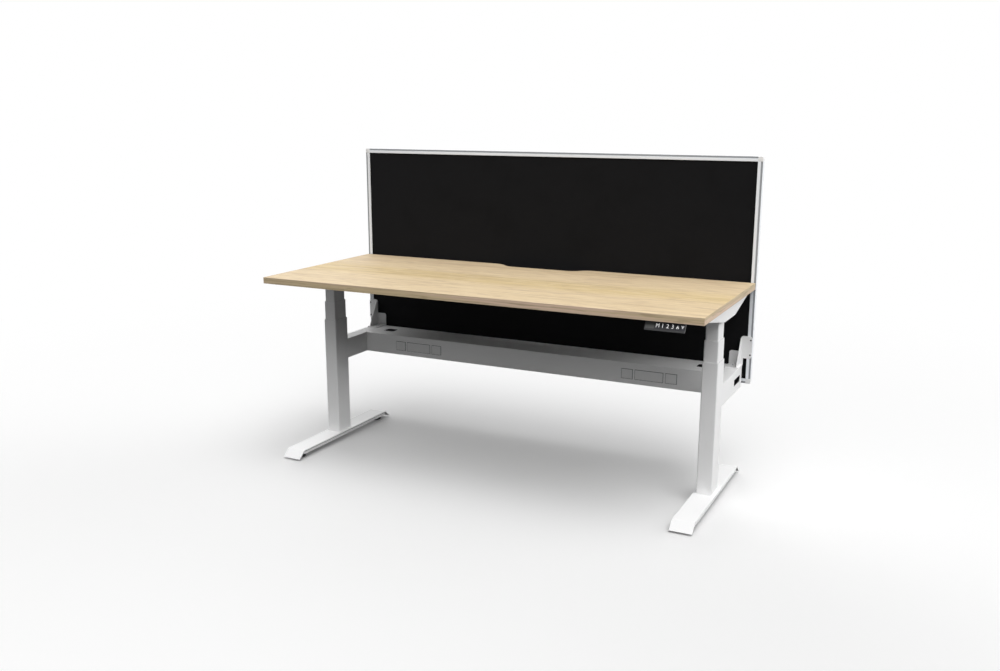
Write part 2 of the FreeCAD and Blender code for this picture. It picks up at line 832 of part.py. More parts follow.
def screen_bracket():
    """A folded bracket: a foot on the arm, a stepped plate in front of the screen's frame and a gusset."""
    body = new_body("right_screen_bracket")
    front = screen_front - S.bracket_foot_depth
    edge = bracket_inner
    corner = S.bracket_corner
    foot_plan = sketch_on(body, "XY_Plane", lid_top)
    outline(foot_plan, [
        (edge + corner, front, edge + corner, front + corner, 1),
        (arm_outer, front),
        (arm_outer, screen_front),
        (edge, screen_front),
        (edge, front + corner),
    ])
    for place in bracket_foot_screws():
        shank(foot_plan, bracket_screw_line(), place, S.machine_screw_diameter + S.screw_clearance * 2)
    pad(body, foot_plan, S.bracket_plate)
    plate = sketch_on(body, "XZ_Plane", -screen_front)
    outer_edge = S.top_width / 2
    step = bracket_step
    low_top, high_bottom, high_top = bracket_low_top, bracket_notch, bracket_high_top
    outline(plate, [
        (edge, lid_top),
        (arm_outer, lid_top),
        (arm_outer, high_bottom),
        (outer_edge - corner, high_bottom),
        (outer_edge, high_bottom + corner, outer_edge - corner, high_bottom + corner, 1),
        (outer_edge, high_top - corner),
        (outer_edge - corner, high_top, outer_edge - corner, high_top - corner, 1),
        (step + corner, high_top),
        (step, high_top - corner, step + corner, high_top - corner, 1),
        (step, low_top),
        (edge + corner, low_top),
        (edge, low_top - corner, edge + corner, low_top - corner, 1),
    ])
    for height in bracket_frame_screws():
        shank(plate, frame_screw_line(), height, S.machine_screw_diameter + S.screw_clearance * 2)
    pad(body, plate, S.bracket_plate)
    gusset = sketch_on(body, "YZ_Plane", step)
    rear = screen_front - S.bracket_plate
    foot_level = lid_top + S.bracket_plate
    outline(gusset, [
        (rear - S.gusset_depth, foot_level),
        (rear, foot_level),
        (rear, high_top - corner),
        (rear - S.gusset_tip, high_top - corner),
        (rear - S.gusset_depth, foot_level + S.gusset_tip),
    ])
    pad(body, gusset, S.gusset_thickness)
    pair(body, "screen_bracket")


def frame_screw_line():
    """The distance from the middle plane of the screws that hold the screen's frame."""
    return S.top_width / 2 - (S.frame_width - S.frame_face) * 0.7


def screws():
    """Button-head screws of the screen brackets and pan-head screws under the worktop."""
    grip = S.machine_screw_grip
    items = []
    for index, height in enumerate(bracket_frame_screws()):
        screw = machine_screw("frame_screw_%d" % index, S.bracket_plate + S.frame_recess + grip)
        screw.Placement.Rotation = FreeCAD.Rotation(Vector(1, 0, 0), 90)
        settle(screw, (frame_screw_line(), screen_front - S.bracket_plate, height))
        items.append(screw)
    for index, place in enumerate(bracket_foot_screws()):
        screw = machine_screw("foot_screw_%d" % index, S.bracket_plate + S.arm_wall)
        settle(screw, (bracket_screw_line(), place, lid_top + S.bracket_plate))
        items.append(screw)
    group("bracket_screws", items + mirrors(items))

    items = []
    for index, place in enumerate(top_screw_places()):
        screw = new_body("top_screw_%d" % index)
        head = sketch_on(screw, "XY_Plane", top_under - S.support_web - S.wood_screw_head_height)
        polygon(head, HEAD_SIDES, 0, 0, S.wood_screw_head)
        pad(screw, head, S.wood_screw_head_height)
        rod = sketch_on(screw, "XY_Plane", top_under - S.support_web)
        shank(rod, 0, 0, S.wood_screw_diameter)
        pad(screw, rod, S.wood_screw_length)
        settle(screw, (leg_x, place, 0))
        items.append(screw)
    group("top_screws", items + mirrors(items))


def machine_screw(label, length):
    """A button-head screw along -Z whose head stands on the plane z = 0."""
    screw = new_body(label)
    head = sketch_on(screw, "XY_Plane")
    polygon(head, HEAD_SIDES, 0, 0, S.machine_screw_head)
    pad(screw, head, S.machine_screw_head_height)
    rod = sketch_on(screw, "XY_Plane")
    shank(rod, 0, 0, S.machine_screw_diameter)
    pad(screw, rod, length, back=True)
    return screw


def top_screw_places():
    """The places along a side support of the screws up into the worktop."""
    return [
        -S.support_front_reach + S.wood_screw_head * 3,
        -S.gearbox_front - S.wood_screw_head * 3,
        S.support_rear_length + S.wood_screw_head * 2,
        S.support_rear_reach - S.wood_screw_head * 4,
    ]


def frame_section(sketch, inner, sign, upright):
    """Draws the frame's section: a lipped groove inside and a step back along the outer edge.

    inner is the inner edge's distance and sign the way outwards. An upright's section lies in plan,
    and a level rail's section stands with its depth across the sketch.
    """
    front, back = screen_front, screen_back
    across = {
        "inner": inner,
        "groove": inner + S.frame_groove * sign,
        "face": inner + S.frame_face * sign,
        "outer": inner + S.frame_width * sign,
    }
    deep = {
        "front": front,
        "front_step": front + S.frame_recess,
        "front_lip": front + S.frame_lip,
        "back_lip": back - S.frame_lip,
        "back_step": back - S.frame_recess,
        "back": back,
    }
    corners = [
        ("inner", "front"), ("face", "front"), ("face", "front_step"), ("outer", "front_step"),
        ("outer", "back_step"), ("face", "back_step"), ("face", "back"), ("inner", "back"),
        ("inner", "back_lip"), ("groove", "back_lip"), ("groove", "front_lip"), ("inner", "front_lip"),
    ]
    if upright:
        outline(sketch, [(across[u], deep[v]) for u, v in corners])
    else:
        outline(sketch, [(deep[v], across[u]) for u, v in corners])


def screen():
    """The framed fabric screen."""
    half = S.top_width / 2
    low, high = screen_under + S.frame_width, screen_top - S.frame_width
    side = new_body("screen_frame_right")
    section = sketch_on(side, "XY_Plane", low)
    frame_section(section, half - S.frame_width, 1, True)
    pad(side, section, high - low)
    holes = sketch_on(side, "XZ_Plane", -screen_front)
    for height in bracket_frame_screws():
        shank(holes, frame_screw_line(), height, S.machine_screw_diameter + S.screw_clearance * 2)
    pocket(side, holes, S.frame_recess + S.machine_screw_grip, ahead=False)
    keep(side)
    keep(mirror(side, "screen_frame_left"))

    for label, inner, sign in (("screen_frame_top", high, 1), ("screen_frame_bottom", low, -1)):
        rail = new_body(label)
        section = sketch_on(rail, "YZ_Plane", -half + S.frame_width)
        frame_section(section, inner, sign, False)
        pad(rail, section, (half - S.frame_width) * 2)
        keep(rail)

    corners = []
    places = (("top", high, screen_top, 1), ("bottom", screen_under, screen_under, -1))
    for name, bottom, rounded, sign in places:
        block = new_body("screen_corner_" + name)
        plan = sketch_on(block, "XZ_Plane", -screen_back)
        rectangle(plan, half - S.frame_width, bottom, half, bottom + S.frame_width)
        raised = pad(block, plan, S.screen_thickness)
        soften(block, raised, "Fillet", S.frame_corner, outer_corner_test(half.value, rounded.value))
        groove = sketch_on(block, "XZ_Plane", -(screen_back - S.frame_lip))
        start = bottom if sign > 0 else bottom + S.frame_width - S.frame_groove
        rectangle(groove, half - S.frame_width, start, half - S.frame_width + S.frame_groove,
                  start + S.frame_groove)
        pocket(block, groove, S.screen_thickness - S.frame_lip * 2, ahead=True)
        corners.append(block)
    group("screen_corners", corners + mirrors(corners))

    reach = S.frame_groove - S.core_clearance
    left = half - S.frame_width + reach
    core = new_body("screen_core")
    board_back = screen_back - S.frame_lip - S.fabric_thickness - S.fabric_clearance
    board_front = screen_front + S.frame_lip + S.fabric_thickness + S.fabric_clearance
    board = sketch_on(core, "XZ_Plane", -board_back)
    rectangle(board, -left, low - reach, left, high + reach)
    pad(core, board, board_back - board_front)
    keep(core)
    cloths = (("screen_fabric_front", board_front), ("screen_fabric_back", board_back + S.fabric_thickness))
    for label, back in cloths:
        cloth = new_body(label)
        sheet_plan = sketch_on(cloth, "XZ_Plane", -back)
        rectangle(sheet_plan, -left, low - reach, left, high + reach)
        pad(cloth, sheet_plan, S.fabric_thickness)
        keep(cloth)


def outer_corner_test(edge, level):
    """A test for the one edge through the screen at its outer corner."""
    def test(middle, along):
        near = abs(middle.x - edge) < S.overrun.value / 10 and abs(middle.z - level) < S.overrun.value / 10
        return near and abs(along.y) > 0.9
    return test


def worktop():
    """The board with its cable scallop, and the edge bands."""
    half = S.top_width / 2
    band = S.edge_band
    board = new_body("tabletop")
    plan = sketch_on(board, "XY_Plane", top_under)
    outline(plan, [(-half + band, top_front + band), (half - band, top_front + band)]
            + scallop(band, half - band))
    pad(board, plan, S.top_thickness)
    holes = sketch_on(board, "XY_Plane", top_under)
    for place in top_screw_places():
        for side in (-leg_x, leg_x):
            shank(holes, side, place, S.wood_screw_diameter + S.screw_clearance * 2)
    pocket(board, holes, S.wood_screw_length - S.support_web, ahead=True)
    keep(board)

    rear = new_body("rear_edge_band")
    strip = sketch_on(rear, "XY_Plane", top_under)
    outline(strip, scallop(0, half - band) + list(reversed_scallop(band, half - band)))
    pad(rear, strip, S.top_thickness)
    keep(rear)

    front = new_body("front_edge_band")
    strip = sketch_on(front, "XY_Plane", top_under)
    rectangle(strip, -half + band, top_front, half - band, top_front + band)
    pad(front, strip, S.top_thickness)
    keep(front)

    side = new_body("side_edge_band")
    strip = sketch_on(side, "XY_Plane", top_under)
    rectangle(strip, half - band, top_front, half, top_rear)
    pad(side, strip, S.top_thickness)
    group("side_edge_bands", [side] + mirrors([side]))


def scallop_places(inset):
    """The rear edge's straight levels and the centres and radii of its two arcs per side.

    inset is how far this line lies in front of the worktop's rear edge.
    """
    depth, curve = S.scallop_depth, S.scallop_curve
    radius = (curve * curve + depth * depth) / (depth * 4)
    inner = S.scallop_floor_width / 2
    return {
        "rear": top_rear - inset,
        "deep": top_rear - depth - inset,
        "inner": inner,
        "outer": inner + curve,
        "middle": inner + curve / 2,
        "level": top_rear - depth / 2,
        "radius": radius,
        "share": curve / (radius * 2),
        "drop": (radius - depth / 2) / radius,
    }


def scallop(inset, end):
    """The steps of the rear edge from right to left, with its cable scallop."""
    p = scallop_places(inset)
    shift_x, shift_y = p["share"] * inset, p["drop"] * inset
    high_y = top_rear - p["radius"]
    low_y = top_rear - S.scallop_depth + p["radius"]
    join = (p["middle"] + shift_x, p["level"] - shift_y)
    return [
        (end, p["rear"]),
        (p["outer"], p["rear"]),
        (join[0], join[1], p["outer"], high_y, 1),
        (p["inner"], p["deep"], p["inner"], low_y, -1),
        (-p["inner"], p["deep"]),
        (-join[0], join[1], -p["inner"], low_y, -1),
        (-p["outer"], p["rear"], -p["outer"], high_y, 1),
        (-end, p["rear"]),
    ]


def reversed_scallop(inset, end):
    """The same rear edge from left to right."""
    forward = scallop(inset, end)
    steps = []
    for index in range(len(forward) - 1, -1, -1):
        point = forward[index][:2]
        after = forward[index + 1] if index + 1 < len(forward) else ()
        if len(after) == 5:
            point = point + (after[2], after[3], -after[4])
        steps.append(point)
    return steps


def side_support():
    """The folded channel over each column, deep in the middle and tapering to both ends."""
    body = new_body("right_side_support")
    top = top_under
    half = S.support_width / 2
    web = sketch_on(body, "XY_Plane", top - S.support_web)
    rectangle(web, -half, -S.support_front_reach, half, S.support_rear_reach)
    for place in top_screw_places():
        shank(web, 0, place, S.wood_screw_diameter + S.screw_clearance * 2)
    pad(body, web, S.support_web)
    for left in (-half, half - S.support_wall):
        wall = sketch_on(body, "YZ_Plane", left)
        outline(wall, [
            (-S.support_front_reach, top),
            (-S.support_front_reach, top - S.support_tip_depth),
            (-S.support_front_length, top - S.support_depth),
            (S.support_rear_length, top - S.support_depth),
            (S.support_rear_reach, top - S.support_tip_depth),
            (S.support_rear_reach, top),
        ])
        pad(body, wall, S.support_wall)
    settle(body, (leg_x, 0, 0))
    pair(body, "side_support")


def rails():
    """Two telescoping rails between the side supports: a sleeve each, with an end rail at both sides."""
    sleeves = []
    ends = []
    wall, clearance = S.rail_wall, S.rail_clearance
    support_inner = leg_x - S.support_width / 2
    for name, place in (("front", S.front_rail_distance), ("rear", S.rear_rail_distance)):
        outer = new_body(name + "_sleeve")
        section = sketch_on(outer, "YZ_Plane", -S.sleeve_length / 2)
        low, high = top_under - S.rail_height, top_under
        front, back = place - S.rail_depth / 2, place + S.rail_depth / 2
        rectangle(section, front, low, back, high)
        rectangle(section, front + wall, low + wall, back - wall, high - wall)
        pad(outer, section, S.sleeve_length)
        sleeves.append(outer)
        inset = wall + clearance
        rail = new_body(name + "_rail_end")
        section = sketch_on(rail, "YZ_Plane", S.sleeve_length / 2 - S.rail_overlap)
        rectangle(section, front + inset, low + inset, back - inset, high - inset)
        rectangle(section, front + inset + wall, low + inset + wall, back - inset - wall, high - inset - wall)
        pad(rail, section, support_inner - S.sleeve_length / 2 + S.rail_overlap)
        ends.append(rail)
    group("rail_sleeves", sleeves)
    group("right_rail_ends", ends)
    group("left_rail_ends", mirrors(ends))


def control_box():
    """The electronics box under the worktop, with its sockets, mains inlet and screw ears."""
    body = new_body("control_box")
    low = top_under - S.box_height
    front, back = S.box_distance - S.box_depth / 2, S.box_distance + S.box_depth / 2
    half = S.box_width / 2
    plan = sketch_on(body, "XY_Plane", low)
    rectangle(plan, -half, front, half, back, S.box_corner)
    pad(body, plan, S.box_height)
    ears = sketch_on(body, "XY_Plane", top_under - S.ear_thickness)
    rectangle(ears, -half - S.ear_length, S.box_distance - S.ear_width / 2, half + S.ear_length,
              S.box_distance + S.ear_width / 2)
    pad(body, ears, S.ear_thickness)
    sockets = sketch_on(body, "XZ_Plane", -(front - S.overrun))
    middle = low + S.box_height / 2
    for number in range(SOCKETS):
        left = -S.socket_reach + S.socket_pitch * number
        rectangle(sockets, left, middle - S.socket_height / 2, left + S.socket_width,
                  middle + S.socket_height / 2)
    pocket(body, sockets, S.socket_depth + S.overrun)
    inlet = sketch_on(body, "XZ_Plane", -(back + S.overrun))
    rectangle(inlet, S.inlet_offset - S.inlet_width / 2, middle - S.inlet_height / 2,
              S.inlet_offset + S.inlet_width / 2, middle + S.inlet_height / 2)
    pocket(body, inlet, S.inlet_depth + S.overrun, ahead=True)
    keep(body)


def handset_places():
    """The corners of the handset's slanted face, its middle and its slope."""
    lip_front = top_front + S.handset_front_inset
    low = top_under - S.handset_drop
    run, rise = S.handset_face_run, S.handset_face_rise
    return {
        "front": lip_front,
        "low": low,
        "face_low": low + S.handset_lip,
        "face_high": low + S.handset_lip + rise,
        "face_rear": lip_front + run,
        "tilt": slope_angle(rise, run),
        "centre_y": lip_front + run / 2,
        "centre_z": low + S.handset_lip + rise / 2,
    }


def on_face(sketch, places):
    """Turns a sketch on the XY plane into the handset's slanted face."""
    sketch.AttachmentOffset = FreeCAD.Placement(
        Vector(0, 0, 0), FreeCAD.Rotation(Vector(1, 0, 0), places["tilt"].value))
    bind(sketch, "AttachmentOffset.Base.y", places["centre_y"])
    bind(sketch, "AttachmentOffset.Base.z", places["centre_z"])
    bind(sketch, "AttachmentOffset.Rotation.Angle", places["tilt"])


def on_slope(body, places):
    """Turns a piece made flat round its own origin into its place on the handset's face."""
    body.Placement = FreeCAD.Placement(
        Vector(0, 0, 0), FreeCAD.Rotation(Vector(1, 0, 0), places["tilt"].value))
    bind(body, "Placement.Rotation.Angle", places["tilt"])
    settle(body, (handset_x, places["centre_y"], places["centre_z"]))


def handset():
    """The slanted control panel with its flange, display window and six keys."""
    places = handset_places()
    half = S.handset_width / 2
    case = new_body("handset_case")
    side = sketch_on(case, "YZ_Plane", -half)
    rear = places["front"] + S.handset_depth
    heel = places["front"] + S.handset_thickness
    lean = S.handset_face_run / S.handset_face_rise
    flange_under = top_under - S.handset_flange
    outline(side, [
        (places["front"], places["low"]),
        (heel - S.handset_lip * lean, places["low"]),
        (heel + (flange_under - places["face_low"]) * lean, flange_under),
        (rear, flange_under),
        (rear, top_under),
        (places["face_rear"], top_under),
        (places["face_rear"], places["face_high"]),
        (places["front"], places["face_low"]),
    ])
    raised = pad(case, side, S.handset_width)
    raised = soften(case, raised, "Fillet", S.handset_round, lambda middle, along: abs(along.x) < 0.1
                    and middle.z + S.handset_round.value / 2 < top_under.value)
    wells = sketch_on(case, "XY_Plane")
    on_face(wells, places)
    gap = S.key_gap
    for number in range(len(KEY_NAMES)):
        centre = S.first_key_distance + S.key_pitch * number
        rectangle(wells, centre - S.key_width / 2 - gap, S.key_rise - S.key_height / 2 - gap,
                  centre + S.key_width / 2 + gap, S.key_rise + S.key_height / 2 + gap)
    pocket(case, wells, S.key_thickness - S.key_proud + S.key_travel + S.key_floor_gap)
    window = sketch_on(case, "XY_Plane")
    on_face(window, places)
    fit = S.seat_clearance
    rectangle(window, S.display_distance - S.display_width / 2 - fit, S.key_rise - S.display_height / 2 - fit,
              S.display_distance + S.display_width / 2 + fit, S.key_rise + S.display_height / 2 + fit)
    pocket(case, window, S.display_thickness)
    settle(case, (handset_x, 0, 0))
    keep(case)

    display = new_body("handset_display")
    plan = sketch_on(display, "XY_Plane", -S.display_thickness)
    rectangle(plan, S.display_distance - S.display_width / 2, S.key_rise - S.display_height / 2,
              S.display_distance + S.display_width / 2, S.key_rise + S.display_height / 2)
    pad(display, plan, S.display_thickness)
    on_slope(display, places)
    keep(display)

    for number, name in enumerate(KEY_NAMES):
        key = new_body("key_" + name)
        plan = sketch_on(key, "XY_Plane", S.key_proud - S.key_thickness)
        centre = S.first_key_distance + S.key_pitch * number
        rectangle(plan, centre - S.key_width / 2, S.key_rise - S.key_height / 2,
                  centre + S.key_width / 2, S.key_rise + S.key_height / 2)
        pad(key, plan, S.key_thickness)
        on_slope(key, places)
        keep(key)


def build():
    """Makes every sub-part."""
    foot()
    for side_name, side in (("right", 1), ("left", -1)):
        for end_name, end in (("front", -1), ("rear", 1)):
            leveller("%s_%s_leveller" % (side_name, end_name), side, end)
    columns()
    lifting_gear()
    arm()
    beam()
    screen_bracket()
    screen()
    worktop()
    side_support()
    rails()
    control_box()
    handset()
    screws()
    doc.recompute()


def check():
    """Stops if any object failed or any sub-part is not a valid solid."""
    for item in doc.Objects:
        if "Invalid" in item.State or "Error" in item.State:
            raise RuntimeError(item.Label + " failed: " + str(item.State))
    for item in nodes:
        if item.Shape.isNull() or not item.Shape.isValid() or item.Shape.Volume <= 0:
            raise RuntimeError(item.Label + " is not a valid solid")


def write():
    """Writes each sub-part to its own file."""
    os.makedirs("parts", exist_ok=True)
    for item in nodes:
        item.Shape.exportStep(os.path.join("parts", item.Label + ".step"))
    print(len(nodes), "sub-parts written")


build()
check()
write()
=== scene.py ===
"""The dressed sit-stand workstation: powder-coated steel, an oak-decor worktop and a cloth screen."""

import json
import math

import bmesh
import bpy
from bpy.props import FloatProperty, FloatVectorProperty, IntProperty, PointerProperty
from bpy.types import Operator, Panel, PropertyGroup
from mathutils import Color, Matrix, Vector
from mathutils.bvhtree import BVHTree

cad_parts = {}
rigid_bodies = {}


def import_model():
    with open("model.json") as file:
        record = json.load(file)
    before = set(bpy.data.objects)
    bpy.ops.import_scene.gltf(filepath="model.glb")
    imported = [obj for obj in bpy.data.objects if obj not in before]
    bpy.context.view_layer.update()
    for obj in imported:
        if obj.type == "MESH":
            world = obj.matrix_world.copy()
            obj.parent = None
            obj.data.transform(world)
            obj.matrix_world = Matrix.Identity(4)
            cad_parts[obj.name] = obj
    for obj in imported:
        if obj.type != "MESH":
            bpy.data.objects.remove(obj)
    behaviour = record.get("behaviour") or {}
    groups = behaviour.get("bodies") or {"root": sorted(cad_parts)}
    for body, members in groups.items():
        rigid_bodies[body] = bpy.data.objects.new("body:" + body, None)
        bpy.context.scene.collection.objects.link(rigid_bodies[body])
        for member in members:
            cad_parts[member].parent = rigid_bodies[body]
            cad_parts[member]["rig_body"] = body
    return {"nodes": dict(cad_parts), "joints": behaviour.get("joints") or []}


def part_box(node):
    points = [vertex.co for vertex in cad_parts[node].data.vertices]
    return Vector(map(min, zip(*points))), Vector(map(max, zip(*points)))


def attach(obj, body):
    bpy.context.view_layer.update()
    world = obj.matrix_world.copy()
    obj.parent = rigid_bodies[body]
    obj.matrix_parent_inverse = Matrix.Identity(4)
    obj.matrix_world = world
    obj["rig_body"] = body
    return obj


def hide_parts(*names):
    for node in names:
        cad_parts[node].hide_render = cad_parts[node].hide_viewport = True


bl_info = {
    "name": "Height adjustable workstation",
    "version": (1, 0, 0),
    "blender": (4, 5, 0),
    "location": "View3D > Sidebar > Workstation",
    "description": "Finishes the pieces of a sit-stand workstation and sets up its studio",
    "category": "Object",
}

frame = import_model()
NODES = frame["nodes"]
JOINTS = {joint["name"]: joint for joint in frame["joints"]}
SIDES = ("left", "right")
KEYS = ("memory", "one", "two", "three", "up", "down")
UP, FRONT, RIGHT = Vector((0, 0, 1)), Vector((0, -1, 0)), Vector((1, 0, 0))

# Meshes: how far apart doubled corners lie, and the angles that pass for flat and for an edge
WELD_DISTANCE = 1e-5
FLAT_ANGLE = math.radians(0.6)
EDGE_ANGLE = math.radians(30)
# How closely two ways agree, as a cosine: a face's side, the handset's slope and a corner edge's run
SAME_SIDE = math.cos(EDGE_ANGLE)
SAME_SLOPE = math.cos(math.radians(10))
SAME_RUN = math.cos(math.radians(7.5))
# Inner faces: how far off a face its ray starts, and how far under the rim a channel's floor lies
RAY_START, FLOOR_UNDER_RIM = 0.0001, 0.003
# How far the step round the screen's frame lies behind its face
STEP_NEAR, STEP_FAR = 0.001, 0.003
# A folded edge is at least this share of its piece's diagonal
FOLD_SHARE = 1 / 8
# The feet: thickness and sloping length of the plate, and the closed channel under it
PLATE_THICKNESS, PLATE_SLOPE = 0.005, 0.034
CHANNEL_LENGTH, CHANNEL_WIDTH, CHANNEL_WALL = 0.62, 0.077, 0.003
CHANNEL_UNDER, GROOVE_UNDER, GROOVE_DEPTH = 0.020, 0.029, 0.002
BOSS_RADIUS, BOSS_UNDER, BOSS_SPACING = 0.010, 0.013, 0.58
# How far the parts of a welded piece run into each other
WELD_OVERLAP = 0.0005
# Rings of a levelling foot from the floor up: shares of its radius and height, and whether six-sided
LEVELLER_RINGS = (
    (0.9, 0, False), (0.97, 0.02, False), (0.99, 0.06, False), (0.99, 0.2, False), (0.93, 0.27, False),
    (0.5, 0.31, False), (0.36, 0.32, False), (0.32, 0.33, True), (0.32, 0.4, True), (0.3, 0.419, True),
    (0.16, 0.419, False), (0.16, 0.97, False), (0.13, 1, False),
)
# Socket screws, in shares of the head's radius: shank, tip, tip's chamfer, head's height and socket
SHANK, TIP, TIP_CHAMFER, HEAD_HEIGHT, SOCKET = 0.52, 0.364, 0.208, 0.6, 0.42
# Their dome as shares of the head's radius and height, and the socket's depth as a share of that height
DOME_RINGS = ((1, 0), (1, 0.25), (0.9, 0.66), (0.7, 0.92), (0.52, 1))
SOCKET_DEPTH = 0.65
# The cloth's crown: how far it falls to the rim as a share of its thickness, and how soon it rises
CROWN_FALL, CROWN_POWER = 0.4, 0.4
# Arrows, in shares of a legend's height; their foot's width and notch's depth in strokes
ARROW_WIDTH, ARROW_HEIGHT, ARROW_STROKE = 0.74, 0.82, 0.19
ARROW_FOOT, ARROW_NOTCH = 1.2, 2
LETTERS = {"memory": "M", "one": "1", "two": "2", "three": "3"}

# Grain: cells to the metre along and across the wood, detail, offset and distortion of each pattern
OAK_GRAIN = {
    "wander": (0.9, 3.0, 1.0, 2.0, 0.0),
    "planks": (0.4, 13.0, 2.0, 7.0, 0.0),
    "figure": (0.9, 34.0, 3.0, 17.0, 0.2),
    "lines": (1.8, 58.0, 2.0, 23.0, 0.0),
    "streaks": (1.3, 90.0, 4.0, 0.0, 0.15),
    "flecks": (13.0, 75.0, 2.0, 31.0, 0.0),
    "fibres": (7.0, 620.0, 3.0, 3.0, 0.0),
    "pores": (26.0, 1100.0, 1.0, 11.0, 0.0),
}
BAND_GRAIN = {
    "streaks": (2.5, 170.0, 4.0, 0.0, 0.0),
    "broad": (1.1, 46.0, 2.0, 4.0, 0.0),
    "flecks": (9.0, 110.0, 2.0, 14.0, 0.0),
    "fibres": (9.0, 800.0, 2.0, 9.0, 0.0),
}
# Tints that the grain lays on: its pattern, where it starts and is full, its greatest share, its colour
OAK_TINTS = (
    ("figure", 0.5, 0.68, 0.28, "dark"), ("figure", 0.48, 0.34, 0.4, "cream"),
    ("lines", 0.57, 0.66, 0.3, "late"), ("flecks", 0.54, 0.66, 0.3, "late"),
    ("flecks", 0.46, 0.36, 0.3, "bright"), ("streaks", 0.52, 0.75, 0.3, "dark"),
    ("fibres", 0.5, 0.8, 0.26, "dark"),
)
BAND_TINTS = (
    ("broad", 0.4, 0.6, 1.0, "band_rose"), ("streaks", 0.45, 0.7, 0.6, "band_dark"),
    ("flecks", 0.56, 0.68, 0.55, "band_dark"), ("fibres", 0.5, 0.75, 0.3, "dark"),
)
# Where the honey heart starts and ends and the rose rear starts, in shares of the worktop's depth
HEART_START, HEART_END, REAR_START = (0.28, 0.42), (0.52, 0.68), (0.6, 0.9)
HEART_SHARE, REAR_SHARE = 0.85, 0.6
# Rose planks: where their pattern starts and is full, and their share
PLANK_START, PLANK_SHARE = (0.5, 0.66), 0.24
# The dashes are pores that lie in a streak
DASH_PORES, DASH_STREAKS, DASH_SHARE = (0.63, 0.72), (0.42, 0.6), 0.45
# How far the heart wanders off its line, in shares of the worktop's depth
WANDER_SHARE = 1 / 6
# The cloth: how far its slubs pull the yarns, where one yarn passes over the other, and its dark tufts
SLUB_PULL, SLUB_HEIGHT, CROSSING = 0.8, 0.3, (-0.25, 0.25)
TUFT_START, TUFT_SHARE, TUFT_LIGHT = (0.45, 0.7), 0.35, 0.55
# The powder coat: shares of the ripples and of the speckle in its height, and the speckle's roughness
RIPPLE_HEIGHT, SPECKLE_HEIGHT, SPECKLE_ROUGHNESS = 0.7, 0.3, 0.12
# Metals: how metallic they are and how far their marks are drawn out along Z
METALS = {"zinc": (1.0, 6.0), "alloy": (0.85, 1.0), "motor": (0.0, 1.0), "screw": (0.9, 1.0)}

# Soft light from the room: bearing from the front to the right and height in degrees, and strength
ROOM_LIGHTS = ((50, 68, 2.8), (135, 8, 2.2), (225, 8, 2.76), (315, 8, 0.5), (0, 90, 0.25))
ROOM_SHARPNESS = 10.0
# Lamps: name, bearing, height and watts; their size, their distance and the place that they aim at
LAMPS = (("key_lamp", 30, 49, 168.0), ("right_lamp", 60, 35, 121.0), ("front_lamp", 0, 35, 110.0),
         ("side_lamp", 92, 24, 206.0), ("left_lamp", 270, 45, 130.0))
LAMP_SIZE, LAMP_DISTANCE = 4.4, 8.0
AIM = Vector((0, 0, 0.5))
FLOOR_RADIUS, FLOOR_SIDES = 60, 96
SENSOR_WIDTH = 36

# Sockets of a colour mix, which share their names with its other kinds
MIX_FIRST, MIX_SECOND, MIX_RESULT = 6, 7, 2
FULL_LEVEL = 255


def colour_setting(name, description, *levels):
    """A colour, given in levels of 0 to 255 and kept in the linear values that a shader takes."""
    shown = Color([level / FULL_LEVEL for level in levels])
    return FloatVectorProperty(name=name, description=description, subtype="COLOR",
                               default=tuple(shown.from_srgb_to_scene_linear()), min=0, max=1)


def length_setting(name, description, default):
    """A length in metres."""
    return FloatProperty(name=name, description=description, default=default, unit="LENGTH", precision=5)


def share_setting(name, description, default):
    """A value from 0 to 1."""
    return FloatProperty(name=name, description=description, default=default, subtype="FACTOR",
                         min=0, max=1)


def strength_setting(name, description, default):
    """A brightness with no upper limit."""
    return FloatProperty(name=name, description=description, default=default, min=0)


def angle_setting(name, description, degrees):
    """An angle, given in degrees."""
    return FloatProperty(name=name, description=description, default=math.radians(degrees),
                         subtype="ANGLE")


class PaintSettings(PropertyGroup):
    """The powder coat of the steel and the screen's frame"""

    steel: colour_setting("Steel", "Powder coat on feet, columns, arms and beam", 238, 238, 238)
    rail: colour_setting("Screen frame", "Coat on the screen's extrusions", 243, 246, 250)
    strip: colour_setting("Frame strip", "Grey strip in the step round the frame", 147, 150, 153)
    # Painted shade: a dark colour on inner faces, channel floors and the feet's groove, in place of the
    # shade that falls there
    inside: colour_setting("Inside", "Thin coat on the inner faces of arms and beam", 62, 62, 64)
    roughness: share_setting("Roughness", "How matt the powder coat is", 0.46)
    peel_size: length_setting("Peel size", "Width of one ripple of the coat", 0.0016)
    peel_depth: length_setting("Peel depth", "Height of the coat's ripples", 0.00003)
    cut_radius: length_setting("Cut edge", "Softening of cut sheet edges", 0.0005)
    foot_fold: length_setting("Foot fold", "Outer radius of the folds of the feet", 0.004)
    arm_fold: length_setting("Arm fold", "Outer radius of the long corners of the arms", 0.001)


class OakSettings(PropertyGroup):
    """The oak decor of the worktop and its edge bands"""

    cream: colour_setting("Cream", "Lightest wood", 216, 195, 160)
    honey: colour_setting("Honey", "Yellow heart band", 212, 189, 141)
    rose: colour_setting("Rose", "Pink beige streaks", 207, 184, 151)
    bright: colour_setting("Bright", "Bright flecks", 229, 212, 180)
    late: colour_setting("Late wood", "Pinkish grey lines", 168, 143, 122)
    dark: colour_setting("Dark", "Dark streaks and pores", 168, 143, 105)
    band: colour_setting("Edge band", "Base of the edge bands", 194, 175, 141)
    band_rose: colour_setting("Edge rose", "Pinkish stretches of the edge bands", 207, 182, 160)
    band_dark: colour_setting("Edge streak", "Streaks of the edge bands", 150, 133, 105)
    backing: colour_setting("Backing", "Backing sheet under the board", 214, 213, 210)
    roughness: share_setting("Roughness", "How matt the decor is", 0.52)
    board_edge: length_setting("Board edge", "Rounding of the board's edges", 0.000125)
    band_edge: length_setting("Band edge", "Rounding of the edge bands", 0.001 / 3)


